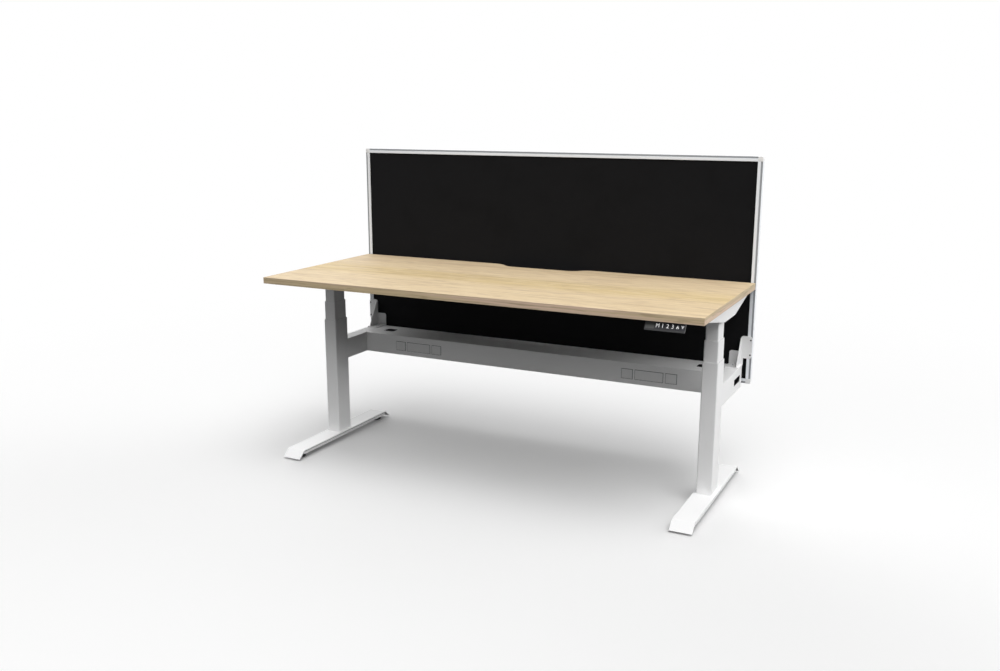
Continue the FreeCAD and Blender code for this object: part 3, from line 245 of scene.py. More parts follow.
class ClothSettings(PropertyGroup):
    """The screen's woven cloth"""

    warp: colour_setting("Warp", "Upright yarns", 22, 22, 24)
    weft: colour_setting("Weft", "Level yarns", 17, 17, 18)
    pitch: length_setting("Yarn pitch", "Distance between two yarns", 0.0009)
    depth: length_setting("Weave depth", "Height of the weave", 0.00015)
    step: length_setting("Step", "Width of one face of the cloth's mesh", 0.03)


class PlasticSettings(PropertyGroup):
    """Moulded plastic parts"""

    case: colour_setting("Case", "Handset and control box", 50, 50, 52)
    face: colour_setting("Face", "Matt face of the handset round its keys", 38, 38, 40)
    key: colour_setting("Key", "Keys of the handset", 22, 22, 32)
    window: colour_setting("Window", "Smoked display window", 66, 67, 66)
    legend: colour_setting("Legend", "Print on the keys", 245, 245, 245)
    blank: colour_setting("Blank", "Plates in the beam's outlets", 236, 236, 236)
    cap: colour_setting("Cap", "Corner blocks of the screen", 240, 240, 240)
    # Also painted shade: the blanks' bevelled rims take this dark colour for the shadow in the gaps
    # round them
    pad: colour_setting("Pad", "Levelling feet and the blanks' outlines", 34, 34, 35)
    glide: colour_setting("Glide", "Glides between the column tubes", 150, 150, 151)
    # Painted light: a glow that makes the figures brighter than the shade under the worktop lets them be
    legend_glow: strength_setting("Legend glow", "How brightly the figures are lit from behind", 0.5)
    legend_height: length_setting("Legend height", "Height of a printed figure", 0.0138)
    legend_width: length_setting("Legend width", "Greatest width of a printed figure", 0.0112)
    print_height: length_setting("Print height", "How far the print stands on the key", 0.00008)
    corner: length_setting("Key corner", "Corner radius of keys and their wells", 0.0016)
    edge: length_setting("Moulded edge", "Rounding of moulded edges", 0.0004)
    key_edge: length_setting("Key edge", "Rounding of the keys' edges", 0.0006)
    window_edge: length_setting("Window edge", "Rounding of the display window", 0.0002)
    cap_edge: length_setting("Cap edge", "Rounding of the screen's corner blocks", 0.001)
    blank_bevel: length_setting("Blank bevel", "Bevel round the front of a blank", 0.0013)


class HardwareSettings(PropertyGroup):
    """Plated, cast and painted machine parts"""

    zinc: colour_setting("Zinc", "Plated steel", 200, 203, 206)
    alloy: colour_setting("Alloy", "Die-cast gearboxes", 178, 179, 182)
    screw: colour_setting("Screw", "Blackened screws", 70, 70, 72)
    motor: colour_setting("Motor", "Black motor cans", 40, 40, 41)
    board: colour_setting("Board", "Fibreboard inside the screen", 178, 150, 112)
    gearbox_edge: length_setting("Gearbox edge", "Rounding of the castings", 0.002)
    motor_edge: length_setting("Motor edge", "Rounding of the motor cans", 0.001)
    sides: IntProperty(name="Sides", description="Sides of turned pieces", default=36, min=12)


class StageSettings(PropertyGroup):
    """Camera, floor and lamps"""

    position: FloatVectorProperty(
        name="Camera", description="Where the camera stands", subtype="TRANSLATION", unit="LENGTH",
        default=(1.688, -3.4645, 1.429))
    turn: angle_setting("Turn", "Camera's turn from the desk's depth towards its left", 26.41)
    dip: angle_setting("Dip", "How far the camera looks down", 12.82)
    roll: angle_setting("Roll", "Camera's roll", 0.06)
    lens: FloatProperty(
        name="Lens", description="Focal length on a 36 mm sensor, in millimetres", default=35.38)
    floor_bounce: share_setting("Floor bounce", "Share of light that the floor sends back", 0.15)
    floor_shown: strength_setting("Floor tone", "How light the floor is in the picture", 1.49)
    clear_near: length_setting("Clear from", "Distance at which the floor starts to turn white", 1.9)
    clear_far: length_setting("Clear at", "Distance at which the floor is white", 4.5)
    room_light: strength_setting("Room light", "Strength of the soft light from the room itself", 1.0)
    lamp_light: strength_setting("Lamp light", "Strength of the lamps", 1.0)


class Value:
    """One output of a shader node, which can stand in a sum."""

    def __init__(self, shading, socket):
        self.shading = shading
        self.socket = socket

    def maths(self, operation, first, second):
        """A Math node on two values."""
        return self.shading.node("ShaderNodeMath", {"operation": operation}, {0: first, 1: second})

    def __add__(self, other):
        return self.maths("ADD", self, other)

    __radd__ = __add__

    def __sub__(self, other):
        return self.maths("SUBTRACT", self, other)

    def __rsub__(self, other):
        return self.maths("SUBTRACT", other, self)

    def __mul__(self, other):
        return self.maths("MULTIPLY", self, other)

    __rmul__ = __mul__

    def __truediv__(self, other):
        return self.maths("DIVIDE", self, other)

    def __rtruediv__(self, other):
        return self.maths("DIVIDE", other, self)

    def __pow__(self, other):
        return self.maths("POWER", self, other)


class Shading:
    """A node tree that is written as sums of values."""

    def __init__(self, tree):
        self.tree = tree

    def node(self, kind, settings=None, sockets=None, output=0):
        """Adds a node, sets it up, fills its sockets and returns one of its outputs, if it has any."""
        node = self.tree.nodes.new(kind)
        for name, value in (settings or {}).items():
            setattr(node, name, value)
        for key, value in (sockets or {}).items():
            self.fill(node.inputs[key], value)
        return Value(self, node.outputs[output]) if node.outputs else None

    def fill(self, socket, value):
        """Links a value to a socket, or sets it."""
        if isinstance(value, Value):
            self.tree.links.new(value.socket, socket)
        elif socket.type == "RGBA":
            socket.default_value = (*value, 1)
        else:
            socket.default_value = value

    def mix(self, share, first, second):
        """A colour between two others."""
        return self.node("ShaderNodeMix", {"data_type": "RGBA"},
                         {0: share, MIX_FIRST: first, MIX_SECOND: second}, MIX_RESULT)

    def step(self, value, low, high):
        """A smooth rise from 0 to 1 while a value goes from low to high."""
        return self.node("ShaderNodeMapRange", {"interpolation_type": "SMOOTHSTEP"},
                         {"Value": value, "From Min": low, "From Max": high})

    def parts(self, vector):
        """The three parts of a vector."""
        node = self.node("ShaderNodeSeparateXYZ", None, {0: vector}).socket.node
        return [Value(self, socket) for socket in node.outputs]


class Finish(Shading):
    """A material with one surface shader, patterned in the object's own metres."""

    def __init__(self, name, settings):
        self.material = bpy.data.materials.new(name)
        self.material.use_nodes = True
        super().__init__(self.material.node_tree)
        self.shader = self.tree.nodes["Principled BSDF"]
        for socket, value in settings.items():
            self.shader.inputs[socket].default_value = value
        self.place = self.node("ShaderNodeTexCoord", output="Object")

    def feed(self, name, value):
        """Fills one of the shader's own sockets."""
        self.fill(self.shader.inputs[name], value)

    def noise(self, cells, detail=2.0, offset=0.0, distortion=0.0):
        """Noise with so many cells to the metre, the same or one number each along X, Y and Z."""
        scale = cells if isinstance(cells, tuple) else (cells,) * 3
        place = self.node("ShaderNodeMapping", None,
                          {"Vector": self.place, "Location": (offset,) * 3, "Scale": scale})
        return self.node("ShaderNodeTexNoise", None,
                         {"Vector": place, "Scale": 1.0, "Detail": detail, "Distortion": distortion})

    def bump(self, height, distance):
        """Raises the surface by a height of 0 to 1 times a distance."""
        sockets = {"Height": height, "Distance": distance, "Strength": 1.0}
        self.feed("Normal", self.node("ShaderNodeBump", None, sockets))

    def clouds(self, colour, spread, cells):
        """A base colour that drifts a little over the surface."""
        darker = tuple(part * (1 - spread) for part in colour)
        self.feed("Base Color", self.mix(self.noise(cells), colour, darker))

    def grain(self, patterns, axis):
        """Noise for each of a wood's patterns, drawn out along one axis."""
        found = {}
        for name, (along, across, *shape) in patterns.items():
            cells = tuple(along if number == axis else across for number in range(3))
            found[name] = self.noise(cells, *shape)
        return found

    def tinted(self, colour, grain, tints, colours):
        """A colour under the tints that its grain lays on."""
        for pattern, start, full, share, tint in tints:
            amount = self.step(grain[pattern], start, full) * share
            colour = self.mix(amount, colour, getattr(colours, tint))
        return colour


def once(make):
    """Makes a material the first time it is asked for and hands out the same one afterwards."""
    def find(context, *details):
        name = "_".join((make.__name__, *(str(detail) for detail in details)))
        return bpy.data.materials.get(name) or make(name, context, *details)
    return find


@once
def powder_coat(name, context, kind):
    """Fine rippled powder coat on steel or aluminium."""
    paint = context.scene.workstation_paint
    finish = Finish(name, {"IOR": 1.48, "Coat Weight": 0.12, "Coat Roughness": 0.3})
    finish.clouds(getattr(paint, kind), spread=0.03, cells=3.0)
    ripples = finish.noise(1 / paint.peel_size, detail=1.0)
    speckle = finish.noise(3 / paint.peel_size, detail=0.0, offset=5.0)
    finish.feed("Roughness", paint.roughness + (speckle - 0.5) * SPECKLE_ROUGHNESS)
    finish.bump(ripples * RIPPLE_HEIGHT + speckle * SPECKLE_HEIGHT, paint.peel_depth)
    return finish.material


@once
def oak_decor(name, context):
    """Light oak with a honey heart band, rose streaks, fine fibres and short pores."""
    oak = context.scene.workstation_oak
    finish = Finish(name, {"IOR": 1.46, "Specular IOR Level": 0.36})
    grain = finish.grain(OAK_GRAIN, 0)
    low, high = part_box("tabletop")
    depth = high.y - low.y
    wander = (grain["wander"] - 0.5) * (depth * WANDER_SHARE)
    row = (finish.parts(finish.place)[1] + wander - low.y) / depth
    heart = finish.step(row, *HEART_START) * (1 - finish.step(row, *HEART_END))
    planks = finish.step(grain["planks"], *PLANK_START)
    rose = finish.step(row, *REAR_START) * REAR_SHARE + planks * PLANK_SHARE
    colour = finish.mix(heart * HEART_SHARE, oak.cream, oak.honey)
    colour = finish.tinted(finish.mix(rose, colour, oak.rose), grain, OAK_TINTS, oak)
    pores = finish.step(grain["pores"], *DASH_PORES)
    dashes = pores * finish.step(grain["streaks"], *DASH_STREAKS)
    finish.feed("Base Color", finish.mix(dashes * DASH_SHARE, colour, oak.dark))
    finish.feed("Roughness", oak.roughness + grain["fibres"] * 0.1 - dashes * 0.08)
    finish.bump(grain["fibres"] * 0.5 - dashes, distance=0.00006)
    return finish.material


@once
def backing_sheet(name, context):
    """Plain pale melamine under the board, with a faint orange-peel press mark."""
    oak = context.scene.workstation_oak
    finish = Finish(name, {"IOR": 1.46})
    finish.clouds(oak.backing, spread=0.04, cells=6.0)
    press = finish.noise(900.0)
    finish.feed("Roughness", oak.roughness + press * 0.15)
    finish.bump(press, distance=0.00003)
    return finish.material


@once
def edge_oak(name, context, along):
    """Edge band with straight, darker streaks along its run."""
    oak = context.scene.workstation_oak
    finish = Finish(name, {"IOR": 1.46})
    grain = finish.grain(BAND_GRAIN, "xyz".index(along))
    finish.feed("Base Color", finish.tinted(oak.band, grain, BAND_TINTS, oak))
    finish.feed("Roughness", oak.roughness + grain["fibres"] * 0.08)
    finish.bump(grain["fibres"], distance=0.00005)
    return finish.material


@once
def woven_cloth(name, context):
    """Plain weave of two black yarns, a little uneven."""
    cloth = context.scene.workstation_cloth
    finish = Finish(name, {"Roughness": 0.9, "Specular IOR Level": 0.12})
    slub = finish.noise((120.0, 120.0, 900.0))
    x, _, z = finish.parts(finish.place)
    turns = math.pi / cloth.pitch
    warp, weft = (
        finish.node("ShaderNodeMath", {"operation": "SINE"}, {0: run * turns + slub * SLUB_PULL})
        for run in (x, z))
    over = finish.step(warp * weft, *CROSSING)
    tufts = finish.noise(6.0, detail=4.0, offset=3.0)
    colour = finish.mix(over, cloth.weft, cloth.warp)
    darker = tuple(part * TUFT_LIGHT for part in cloth.weft)
    tufted = finish.step(tufts, *TUFT_START) * TUFT_SHARE
    finish.feed("Base Color", finish.mix(tufted, colour, darker))
    crowns = warp * warp * over + weft * weft * (1 - over)
    finish.bump(crowns + slub * SLUB_HEIGHT, cloth.depth)
    return finish.material


@once
def moulded_plastic(name, context, kind):
    """Satin moulding with a fine eroded texture."""
    finish = Finish(name, {"IOR": 1.5})
    finish.clouds(getattr(context.scene.workstation_plastic, kind), spread=0.08, cells=40.0)
    erosion = finish.noise(2600.0)
    finish.feed("Roughness", 0.42 + erosion * 0.2)
    finish.bump(erosion, distance=0.00002)
    return finish.material


@once
def smoked_window(name, context):
    """Satin smoked acrylic with a trace of wiping."""
    finish = Finish(name, {"IOR": 1.49, "Coat Weight": 0.15, "Coat Roughness": 0.3})
    finish.clouds(context.scene.workstation_plastic.window, spread=0.15, cells=60.0)
    wiped = finish.noise((400.0, 60.0, 60.0), detail=3.0)
    finish.feed("Roughness", 0.36 + wiped * 0.12)
    finish.bump(wiped, distance=0.000005)
    return finish.material


@once
def key_print(name, context):
    """White figures on the keys, with a painted glow that lifts them out of the shade they lie in."""
    plastic = context.scene.workstation_plastic
    finish = Finish(name, {"IOR": 1.5, "Emission Color": (1, 1, 1, 1),
                           "Emission Strength": plastic.legend_glow})
    finish.clouds(plastic.legend, spread=0.05, cells=300.0)
    finish.feed("Roughness", 0.4 + finish.noise(1500.0) * 0.15)
    return finish.material


@once
def machine_metal(name, context, kind):
    """Plated, cast or blackened metal."""
    metallic, drawn = METALS[kind]
    finish = Finish(name, {"Metallic": metallic, "IOR": 1.5})
    finish.clouds(getattr(context.scene.workstation_hardware, kind), spread=0.18, cells=45.0)
    marks = finish.noise((700.0, 700.0, 700.0 / drawn), detail=3.0)
    blooms = finish.noise(90.0, offset=6.0)
    finish.feed("Roughness", 0.3 + marks * 0.18 + blooms * 0.12)
    finish.bump(marks, distance=0.00004)
    return finish.material


@once
def fibreboard(name, context):
    """Pressed fibre, seen only where the cloth is off."""
    finish = Finish(name, {"Roughness": 0.85})
    finish.clouds(context.scene.workstation_hardware.board, spread=0.25, cells=500.0)
    finish.bump(finish.noise(900.0, detail=3.0), distance=0.0002)
    return finish.material


def both(name):
    """The names of a left-hand and a right-hand node."""
    return ["%s_%s" % (side, name) for side in SIDES]


def placed(name, data):
    """Puts an object in the scene."""
    item = bpy.data.objects.new(name, data)
    bpy.context.scene.collection.objects.link(item)
    return item


def fitted(name, mesh, node, *materials):
    """Puts a mesh with its materials on a node's body."""
    for material in materials:
        mesh.materials.append(material)
    item = placed(name, mesh)
    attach(item, NODES[node]["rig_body"])
    return item


def piece(name, form, node, *materials):
    """Puts a form in place of a node, with normals that keep flat faces flat beside rounded edges."""
    item = fitted(name, finished(form, name), node, *materials)
    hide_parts(node)
    item.modifiers.new("normals", "WEIGHTED_NORMAL").keep_sharp = True
    return item


def solid_form(node):
    """A node's mesh with its corners welded and its flat faces joined."""
    form = bmesh.new()
    form.from_mesh(NODES[node].data)
    bmesh.ops.remove_doubles(form, verts=form.verts[:], dist=WELD_DISTANCE)
    bmesh.ops.dissolve_limit(form, angle_limit=FLAT_ANGLE, verts=form.verts[:], edges=form.edges[:])
    return form


def soften(form, radius, test=None, segments=2):
    """Rounds the hard edges of a form that pass a test."""
    hard = [edge for edge in form.edges if edge.is_manifold and edge.calc_face_angle() > EDGE_ANGLE]
    chosen = [edge for edge in hard if test is None or test(edge)]
    bmesh.ops.bevel(form, geom=chosen, offset=radius, offset_type="OFFSET", segments=segments,
                    profile=0.5, affect="EDGES", clamp_overlap=True)


def finished(form, name):
    """The smooth-shaded mesh of a form, with its sharp edges kept."""
    bmesh.ops.recalc_face_normals(form, faces=form.faces[:])
    for face in form.faces:
        face.smooth = True
    mesh = bpy.data.meshes.new(name)
    form.to_mesh(mesh)
    form.free()
    mesh.set_sharp_from_angle(angle=EDGE_ANGLE)
    return mesh


def inner_faces(form):
    """A mask of painted shade for hollow sheet metal: 1 for a face that looks at another or up out of a
    channel, which takes a dark colour in place of the shade that falls there.
    """
    tree = BVHTree.FromBMesh(form)
    top = max(point.co.z for point in form.verts)

    def paint(face):
        start = face.calc_center_median() + face.normal * RAY_START
        facing_itself = tree.ray_cast(start, face.normal)[0] is not None
        floor = face.normal.z > SAME_SIDE and start.z < top - FLOOR_UNDER_RIM
        return int(facing_itself or floor)
    return paint


def dressed(node, radius, *materials, shape=None, paint=None):
    """Replaces a node by its own form with softened edges.

    shape may first change the form, and paint gives each face's place among the materials. Without
    paint a second material goes on the inner faces as painted shade.
    """
    form = solid_form(node)
    if shape:
        shape(form)
    soften(form, radius)
    if len(materials) > 1:
        form.normal_update()
        paint = paint or inner_faces(form)
        for face in form.faces:
            face.material_index = paint(face)
    piece(node + "_dressed", form, node, *materials)


def repaint(node, material):
    """Gives an inner node a better material and leaves its form."""
    NODES[node].data.materials.clear()
    NODES[node].data.materials.append(material)


def skin(form, first, second):
    """Four-sided faces between two rings of as many points."""
    return [form.faces.new((first[number - 1], first[number], second[number], second[number - 1]))
            for number in range(len(first))]


def ring(form, radius, height, sides, six_sided):
    """A ring of points at a height, round or with six flats."""
    sector = math.tau / 6
    points = []
    for number in range(sides):
        angle = math.tau * number / sides
        reach = radius
        if six_sided:
            reach *= math.cos(sector / 2) / math.cos(angle % sector - sector / 2)
        points.append(form.verts.new((reach * math.cos(angle), reach * math.sin(angle), height)))
    return points


def turned(form, profile, sides):
    """A closed skin through rings of (radius, height, six_sided), capped at both ends."""
    rings = [ring(form, radius, height, sides, six) for radius, height, six in profile]
    for low, high in zip(rings, rings[1:]):
        skin(form, low, high)
    form.faces.new(rings[0][::-1])
    form.faces.new(rings[-1])
    return [point for points in rings for point in points]


def extent(points):
    """The lowest and highest corners of the box round some points."""
    points = list(points)
    return [Vector([pick(point[axis] for point in points) for axis in range(3)]) for pick in (min, max)]


def islands(node):
    """The lowest and highest corners of each separate solid of a node."""
    form = solid_form(node)
    left = set(form.verts)
    boxes = []
    while left:
        rim = [left.pop()]
        corners = []
        while rim:
            point = rim.pop()
            corners.append(point.co.copy())
            beyond = {edge.other_vert(point) for edge in point.link_edges} & left
            left -= beyond
            rim += beyond
        boxes.append(extent(corners))
    form.free()
    return sorted(boxes, key=lambda box: tuple(box[0]))


def socket_screw(form, low, high, way, sides):
    """A domed screw with a hexagon socket, whose head lies at the end of its box that way points to."""
    length = max(high - low)
    radius = min(high - low) / 2
    shank, socket, head = radius * SHANK, radius * SOCKET, radius * HEAD_HEIGHT
    neck = length - head
    profile = [
        (radius * TIP, 0, False), (shank, radius * TIP_CHAMFER, False), (shank, neck, False),
        *((radius * wide, neck + head * rise, False) for wide, rise in DOME_RINGS),
        (socket, length, True), (socket, length - head * SOCKET_DEPTH, True),
    ]
    points = turned(form, profile, sides)
    start = (low + high - way * length) / 2
    turn = UP.rotation_difference(way).to_matrix().to_4x4()
    bmesh.ops.transform(form, matrix=Matrix.Translation(start) @ turn, verts=points)


def folded_plate(form, low, high, radius):
    """The foot's top plate with its sloping ends and rounded folds."""
    drop = high.z - low.z
    slope = math.hypot(PLATE_SLOPE, drop)
    cut = PLATE_THICKNESS * slope / drop
    setback = PLATE_THICKNESS * (slope - PLATE_SLOPE) / drop
    under = high.z - PLATE_THICKNESS
    section = []
    for end, tip in ((1, high.y), (-1, low.y)):
        half = [(tip - end * (PLATE_SLOPE + setback), under), (tip - end * cut, low.z), (tip, low.z),
                (tip - end * PLATE_SLOPE, high.z)]
        section += half[::end]
    near, far = ([form.verts.new((x, y, z)) for y, z in section] for x in (low.x, high.x))
    faces = [form.faces.new(near), form.faces.new(far[::-1]), *skin(form, far, near)]
    bmesh.ops.recalc_face_normals(form, faces=faces)

    def is_fold(edge):
        across = abs(edge.verts[0].co.x - edge.verts[1].co.x) > WELD_OVERLAP
        return across and all(point.co.z > under - WELD_OVERLAP for point in edge.verts)

    soften(form, radius, is_fold, segments=3)


def channel_sheet(form, middle, inset, under, top):
    """The closed channel's upright sheet between two heights, set in by an inset, with its faces."""
    loops = []
    for depth, levels in ((inset, (under, top)), (inset + CHANNEL_WALL, (top, under))):
        x, y = CHANNEL_WIDTH / 2 - depth, CHANNEL_LENGTH / 2 - depth
        corners = ((-x, -y), (x, -y), (x, y), (-x, y))
        loops += [[form.verts.new((middle.x + u, middle.y + v, level)) for u, v in corners]
                  for level in levels]
    return [face for number in range(4) for face in skin(form, loops[number - 1], loops[number])]


class WORKSTATION_OT_feet(Operator):
    """Make the two folded feet: plate, closed channel and the bosses of the levelling feet"""
    bl_idname = "workstation.feet"
    bl_label = "Feet"

    def execute(self, context):
        paint = context.scene.workstation_paint
        sides = context.scene.workstation_hardware.sides
        for node in both("foot"):
            low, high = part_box(node)
            middle = (low + high) / 2
            in_plate = high.z - PLATE_THICKNESS + WELD_OVERLAP
            form = bmesh.new()
            folded_plate(form, low, high, paint.foot_fold)
            channel_sheet(form, middle, 0, CHANNEL_UNDER, GROOVE_UNDER)
            soften(form, paint.cut_radius)
            # Painted shade: the groove's sheet under the plate's overhang takes the dark inside colour
            for face in channel_sheet(form, middle, GROOVE_DEPTH, GROOVE_UNDER - WELD_OVERLAP, in_plate):
                face.material_index = 1
            for end in (-1, 1):
                profile = [(BOSS_RADIUS, BOSS_UNDER, False), (BOSS_RADIUS, in_plate, False)]
                points = turned(form, profile, sides)
                place = Vector((middle.x, middle.y + end * BOSS_SPACING / 2, 0))
                bmesh.ops.translate(form, vec=place, verts=points)
            piece(node + "_folded", form, node, powder_coat(context, "steel"),
                  powder_coat(context, "inside"))
        return {"FINISHED"}


class WORKSTATION_OT_levellers(Operator):
    """Make the levelling feet with rounded rims, hexagon necks and studs"""
    bl_idname = "workstation.levellers"
    bl_label = "Levelling feet"

    def execute(self, context):
        sides = context.scene.workstation_hardware.sides
        for node in (*both("front_leveller"), *both("rear_leveller")):
            low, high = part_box(node)
            radius, height = (high.x - low.x) / 2, high.z - low.z
            profile = [(radius * wide, height * rise, six) for wide, rise, six in LEVELLER_RINGS]
            form = bmesh.new()
            points = turned(form, profile, sides)
            place = Vector(((low.x + high.x) / 2, (low.y + high.y) / 2, low.z))
            bmesh.ops.translate(form, vec=place, verts=points)
            piece(node + "_turned", form, node, moulded_plastic(context, "pad"))
        return {"FINISHED"}


class WORKSTATION_OT_columns(Operator):
    """Finish the telescoping tubes of both columns and the glides between them"""
    bl_idname = "workstation.columns"
    bl_label = "Columns"

    def execute(self, context):
        paint = context.scene.workstation_paint
        for node in (*both("outer_tube"), *both("middle_tube"), *both("inner_tube")):
            dressed(node, paint.cut_radius, powder_coat(context, "steel"))
        for node in ("outer_glides", "inner_glides", *both("middle_glides")):
            repaint(node, moulded_plastic(context, "glide"))
        return {"FINISHED"}


class WORKSTATION_OT_lifting_gear(Operator):
    """Finish the nuts, screw tubes, spindles, gearboxes and motors"""
    bl_idname = "workstation.lifting_gear"
    bl_label = "Lifting gear"

    def execute(self, context):
        hardware = context.scene.workstation_hardware
        for node in ("base_nuts", *both("screw_tube"), *both("spindle")):
            repaint(node, machine_metal(context, "zinc"))
        dressed("gearboxes", hardware.gearbox_edge, machine_metal(context, "alloy"))
        dressed("motors", hardware.motor_edge, machine_metal(context, "motor"))
        return {"FINISHED"}


def outer_fold(node):
    """A test for the long outer corners of a boxed piece, which are bent and not cut."""
    low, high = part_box(node)
    shortest = (high - low).length * FOLD_SHARE

    def test(edge):
        first, second = (point.co for point in edge.verts)
        along = second - first
        outside = 0
        for axis in range(3):
            to_face = min(abs(first[axis] - low[axis]), abs(first[axis] - high[axis]))
            outside += abs(along[axis]) < WELD_DISTANCE and to_face < WELD_DISTANCE
        return outside >= 2 and along.length >= shortest
    return test


class WORKSTATION_OT_arms(Operator):
    """Finish the two arms behind the columns"""
    bl_idname = "workstation.arms"
    bl_label = "Arms"

    def execute(self, context):
        paint = context.scene.workstation_paint
        for node in both("arm"):
            fold = outer_fold(node)
            # The second coat is painted shade on the arms' inner faces
            dressed(node, paint.cut_radius, powder_coat(context, "steel"),
                    powder_coat(context, "inside"),
                    shape=lambda form, fold=fold: soften(form, paint.arm_fold, fold, segments=3))
        return {"FINISHED"}


class WORKSTATION_OT_beam(Operator):
    """Finish the cable beam and its lid"""
    bl_idname = "workstation.beam"
    bl_label = "Cable beam"

    def execute(self, context):
        paint = context.scene.workstation_paint
        coat = powder_coat(context, "steel")
        # The second coat is painted shade on the channel's inner faces and floor
        dressed("beam_channel", paint.cut_radius, coat, powder_coat(context, "inside"))
        dressed("beam_lid", paint.cut_radius, coat)
        return {"FINISHED"}


class WORKSTATION_OT_outlet_blanks(Operator):
    """Finish the plates that blank the beam's outlets, with painted shade on their bevelled rims for the
    gaps round them
    """
    bl_idname = "workstation.outlet_blanks"
    bl_label = "Outlet blanks"

    def execute(self, context):
        plastic = context.scene.workstation_plastic
        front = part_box("outlet_blanks")[0].y

        def in_front(edge):
            return all(abs(point.co.y - front) < WELD_DISTANCE for point in edge.verts)

        # Painted shade: rims and sides that do not face front take the dark pad colour for the shadow in
        # the gaps
        dressed("outlet_blanks", plastic.edge, moulded_plastic(context, "blank"),
                moulded_plastic(context, "pad"),
                shape=lambda form: soften(form, plastic.blank_bevel, in_front, segments=1),
                paint=lambda face: int(abs(face.normal.y) < SAME_SIDE))
        return {"FINISHED"}


class WORKSTATION_OT_screen_brackets(Operator):
    """Finish the two folded screen brackets"""
    bl_idname = "workstation.screen_brackets"
    bl_label = "Screen brackets"

    def execute(self, context):
        for node in both("screen_bracket"):
            dressed(node, context.scene.workstation_paint.cut_radius, powder_coat(context, "steel"))
        return {"FINISHED"}


class WORKSTATION_OT_screws(Operator):
    """Make the socket screws of the brackets and of the worktop"""
    bl_idname = "workstation.screws"
    bl_label = "Screws"

    def execute(self, context):
        sides = context.scene.workstation_hardware.sides
        for node, upright in (("bracket_screws", UP), ("top_screws", -UP)):
            form = bmesh.new()
            for low, high in islands(node):
                standing = (high - low).z > (high - low).y
                made = len(form.faces)
                socket_screw(form, low, high, upright if standing else FRONT, sides)
                for face in form.faces[made:]:
                    face.material_index = int(not standing)
            piece(node + "_turned", form, node, machine_metal(context, "zinc"),
                  machine_metal(context, "screw"))
        return {"FINISHED"}


class WORKSTATION_OT_screen_frame(Operator):
    """Finish the screen's extrusions with the grey strip in their outer step, and the corner blocks"""
    bl_idname = "workstation.screen_frame"
    bl_label = "Screen frame"

    def execute(self, context):
        front, back = (corner.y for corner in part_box("screen_corners"))

        def in_step(face):
            middle = face.calc_center_median()
            sunk = min(middle.y - front, back - middle.y)
            return int(abs(face.normal.y) > SAME_SIDE and STEP_NEAR < sunk < STEP_FAR)

        for end in ("left", "right", "top", "bottom"):
            dressed("screen_frame_" + end, context.scene.workstation_paint.cut_radius,
                    powder_coat(context, "rail"), powder_coat(context, "strip"), paint=in_step)
        dressed("screen_corners", context.scene.workstation_plastic.cap_edge,
                moulded_plastic(context, "cap"))
        return {"FINISHED"}


class WORKSTATION_OT_screen_cloth(Operator):
    """Stretch the two cloths over the screen's board"""
    bl_idname = "workstation.screen_cloth"
    bl_label = "Screen cloth"

    def execute(self, context):
        core_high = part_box("screen_core")[1]
        for node in ("screen_fabric_front", "screen_fabric_back"):
            low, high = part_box(node)
            inner, outer = (high.y, low.y) if high.y < core_high.y else (low.y, high.y)
            form = stretched_sheet(low, high, inner, outer, context.scene.workstation_cloth.step)
            item = piece(node + "_woven", form, node, woven_cloth(context))
        repaint("screen_core", fibreboard(context))
        return {"FINISHED"}


def stretched_sheet(low, high, inner, outer, step):
    """A thin closed sheet with a slight crown, thinner where the frame grips its rim."""
    size = high - low
    columns, rows = round(size.x / step), round(size.z / step)
    form = bmesh.new()
    rims = []
    for level, fall in ((inner, 0), (outer, (outer - inner) * CROWN_FALL)):
        grid = [[] for _ in range(rows + 1)]
        for row, line in enumerate(grid):
            for column in range(columns + 1):
                across, up = column / columns, row / rows
                swell = (math.sin(math.pi * across) * math.sin(math.pi * up)) ** CROWN_POWER
                point = (low.x + size.x * across, level - fall * (1 - swell), low.z + size.z * up)
                line.append(form.verts.new(point))
        for below, above in zip(grid, grid[1:]):
            for column in range(columns):
                form.faces.new((below[column], below[column + 1], above[column + 1], above[column]))
        rims.append([*grid[0], *(line[-1] for line in grid[1:-1]), *grid[-1][::-1],
                     *(line[0] for line in grid[-2:0:-1])])
    skin(form, *rims)
    return form


class WORKSTATION_OT_worktop(Operator):
    """Finish the oak-decor board and its edge bands"""
    bl_idname = "workstation.worktop"
    bl_label = "Worktop"

    def execute(self, context):
        oak = context.scene.workstation_oak
        dressed("tabletop", oak.board_edge, oak_decor(context), backing_sheet(context),
                paint=lambda face: int(face.normal.z < -SAME_SIDE))
        for node, along in (("front_edge_band", "x"), ("rear_edge_band", "x"), ("side_edge_bands", "y")):
            dressed(node, oak.band_edge, edge_oak(context, along))
        return {"FINISHED"}


class WORKSTATION_OT_underframe(Operator):
    """Finish the side supports and the telescoping rails under the worktop"""
    bl_idname = "workstation.underframe"
    bl_label = "Underframe"

    def execute(self, context):
        for node in (*both("side_support"), "rail_sleeves", *both("rail_ends")):
            dressed(node, context.scene.workstation_paint.cut_radius, powder_coat(context, "steel"))
        return {"FINISHED"}


class WORKSTATION_OT_control_box(Operator):
    """Finish the control box"""
    bl_idname = "workstation.control_box"
    bl_label = "Control box"

    def execute(self, context):
        dressed("control_box", context.scene.workstation_plastic.edge, moulded_plastic(context, "case"))
        return {"FINISHED"}


def key_slope():
    """The way out of a key's face and the way up along it."""
    out = -Vector(JOINTS["key_one_press"]["axis"]).normalized()
    return out, out.cross(RIGHT)


def runs_along(way):
    """A test for the edges that run along a way."""
    def test(edge):
        run = (edge.verts[1].co - edge.verts[0].co).normalized()
        return abs(run.dot(way)) > SAME_RUN
    return test


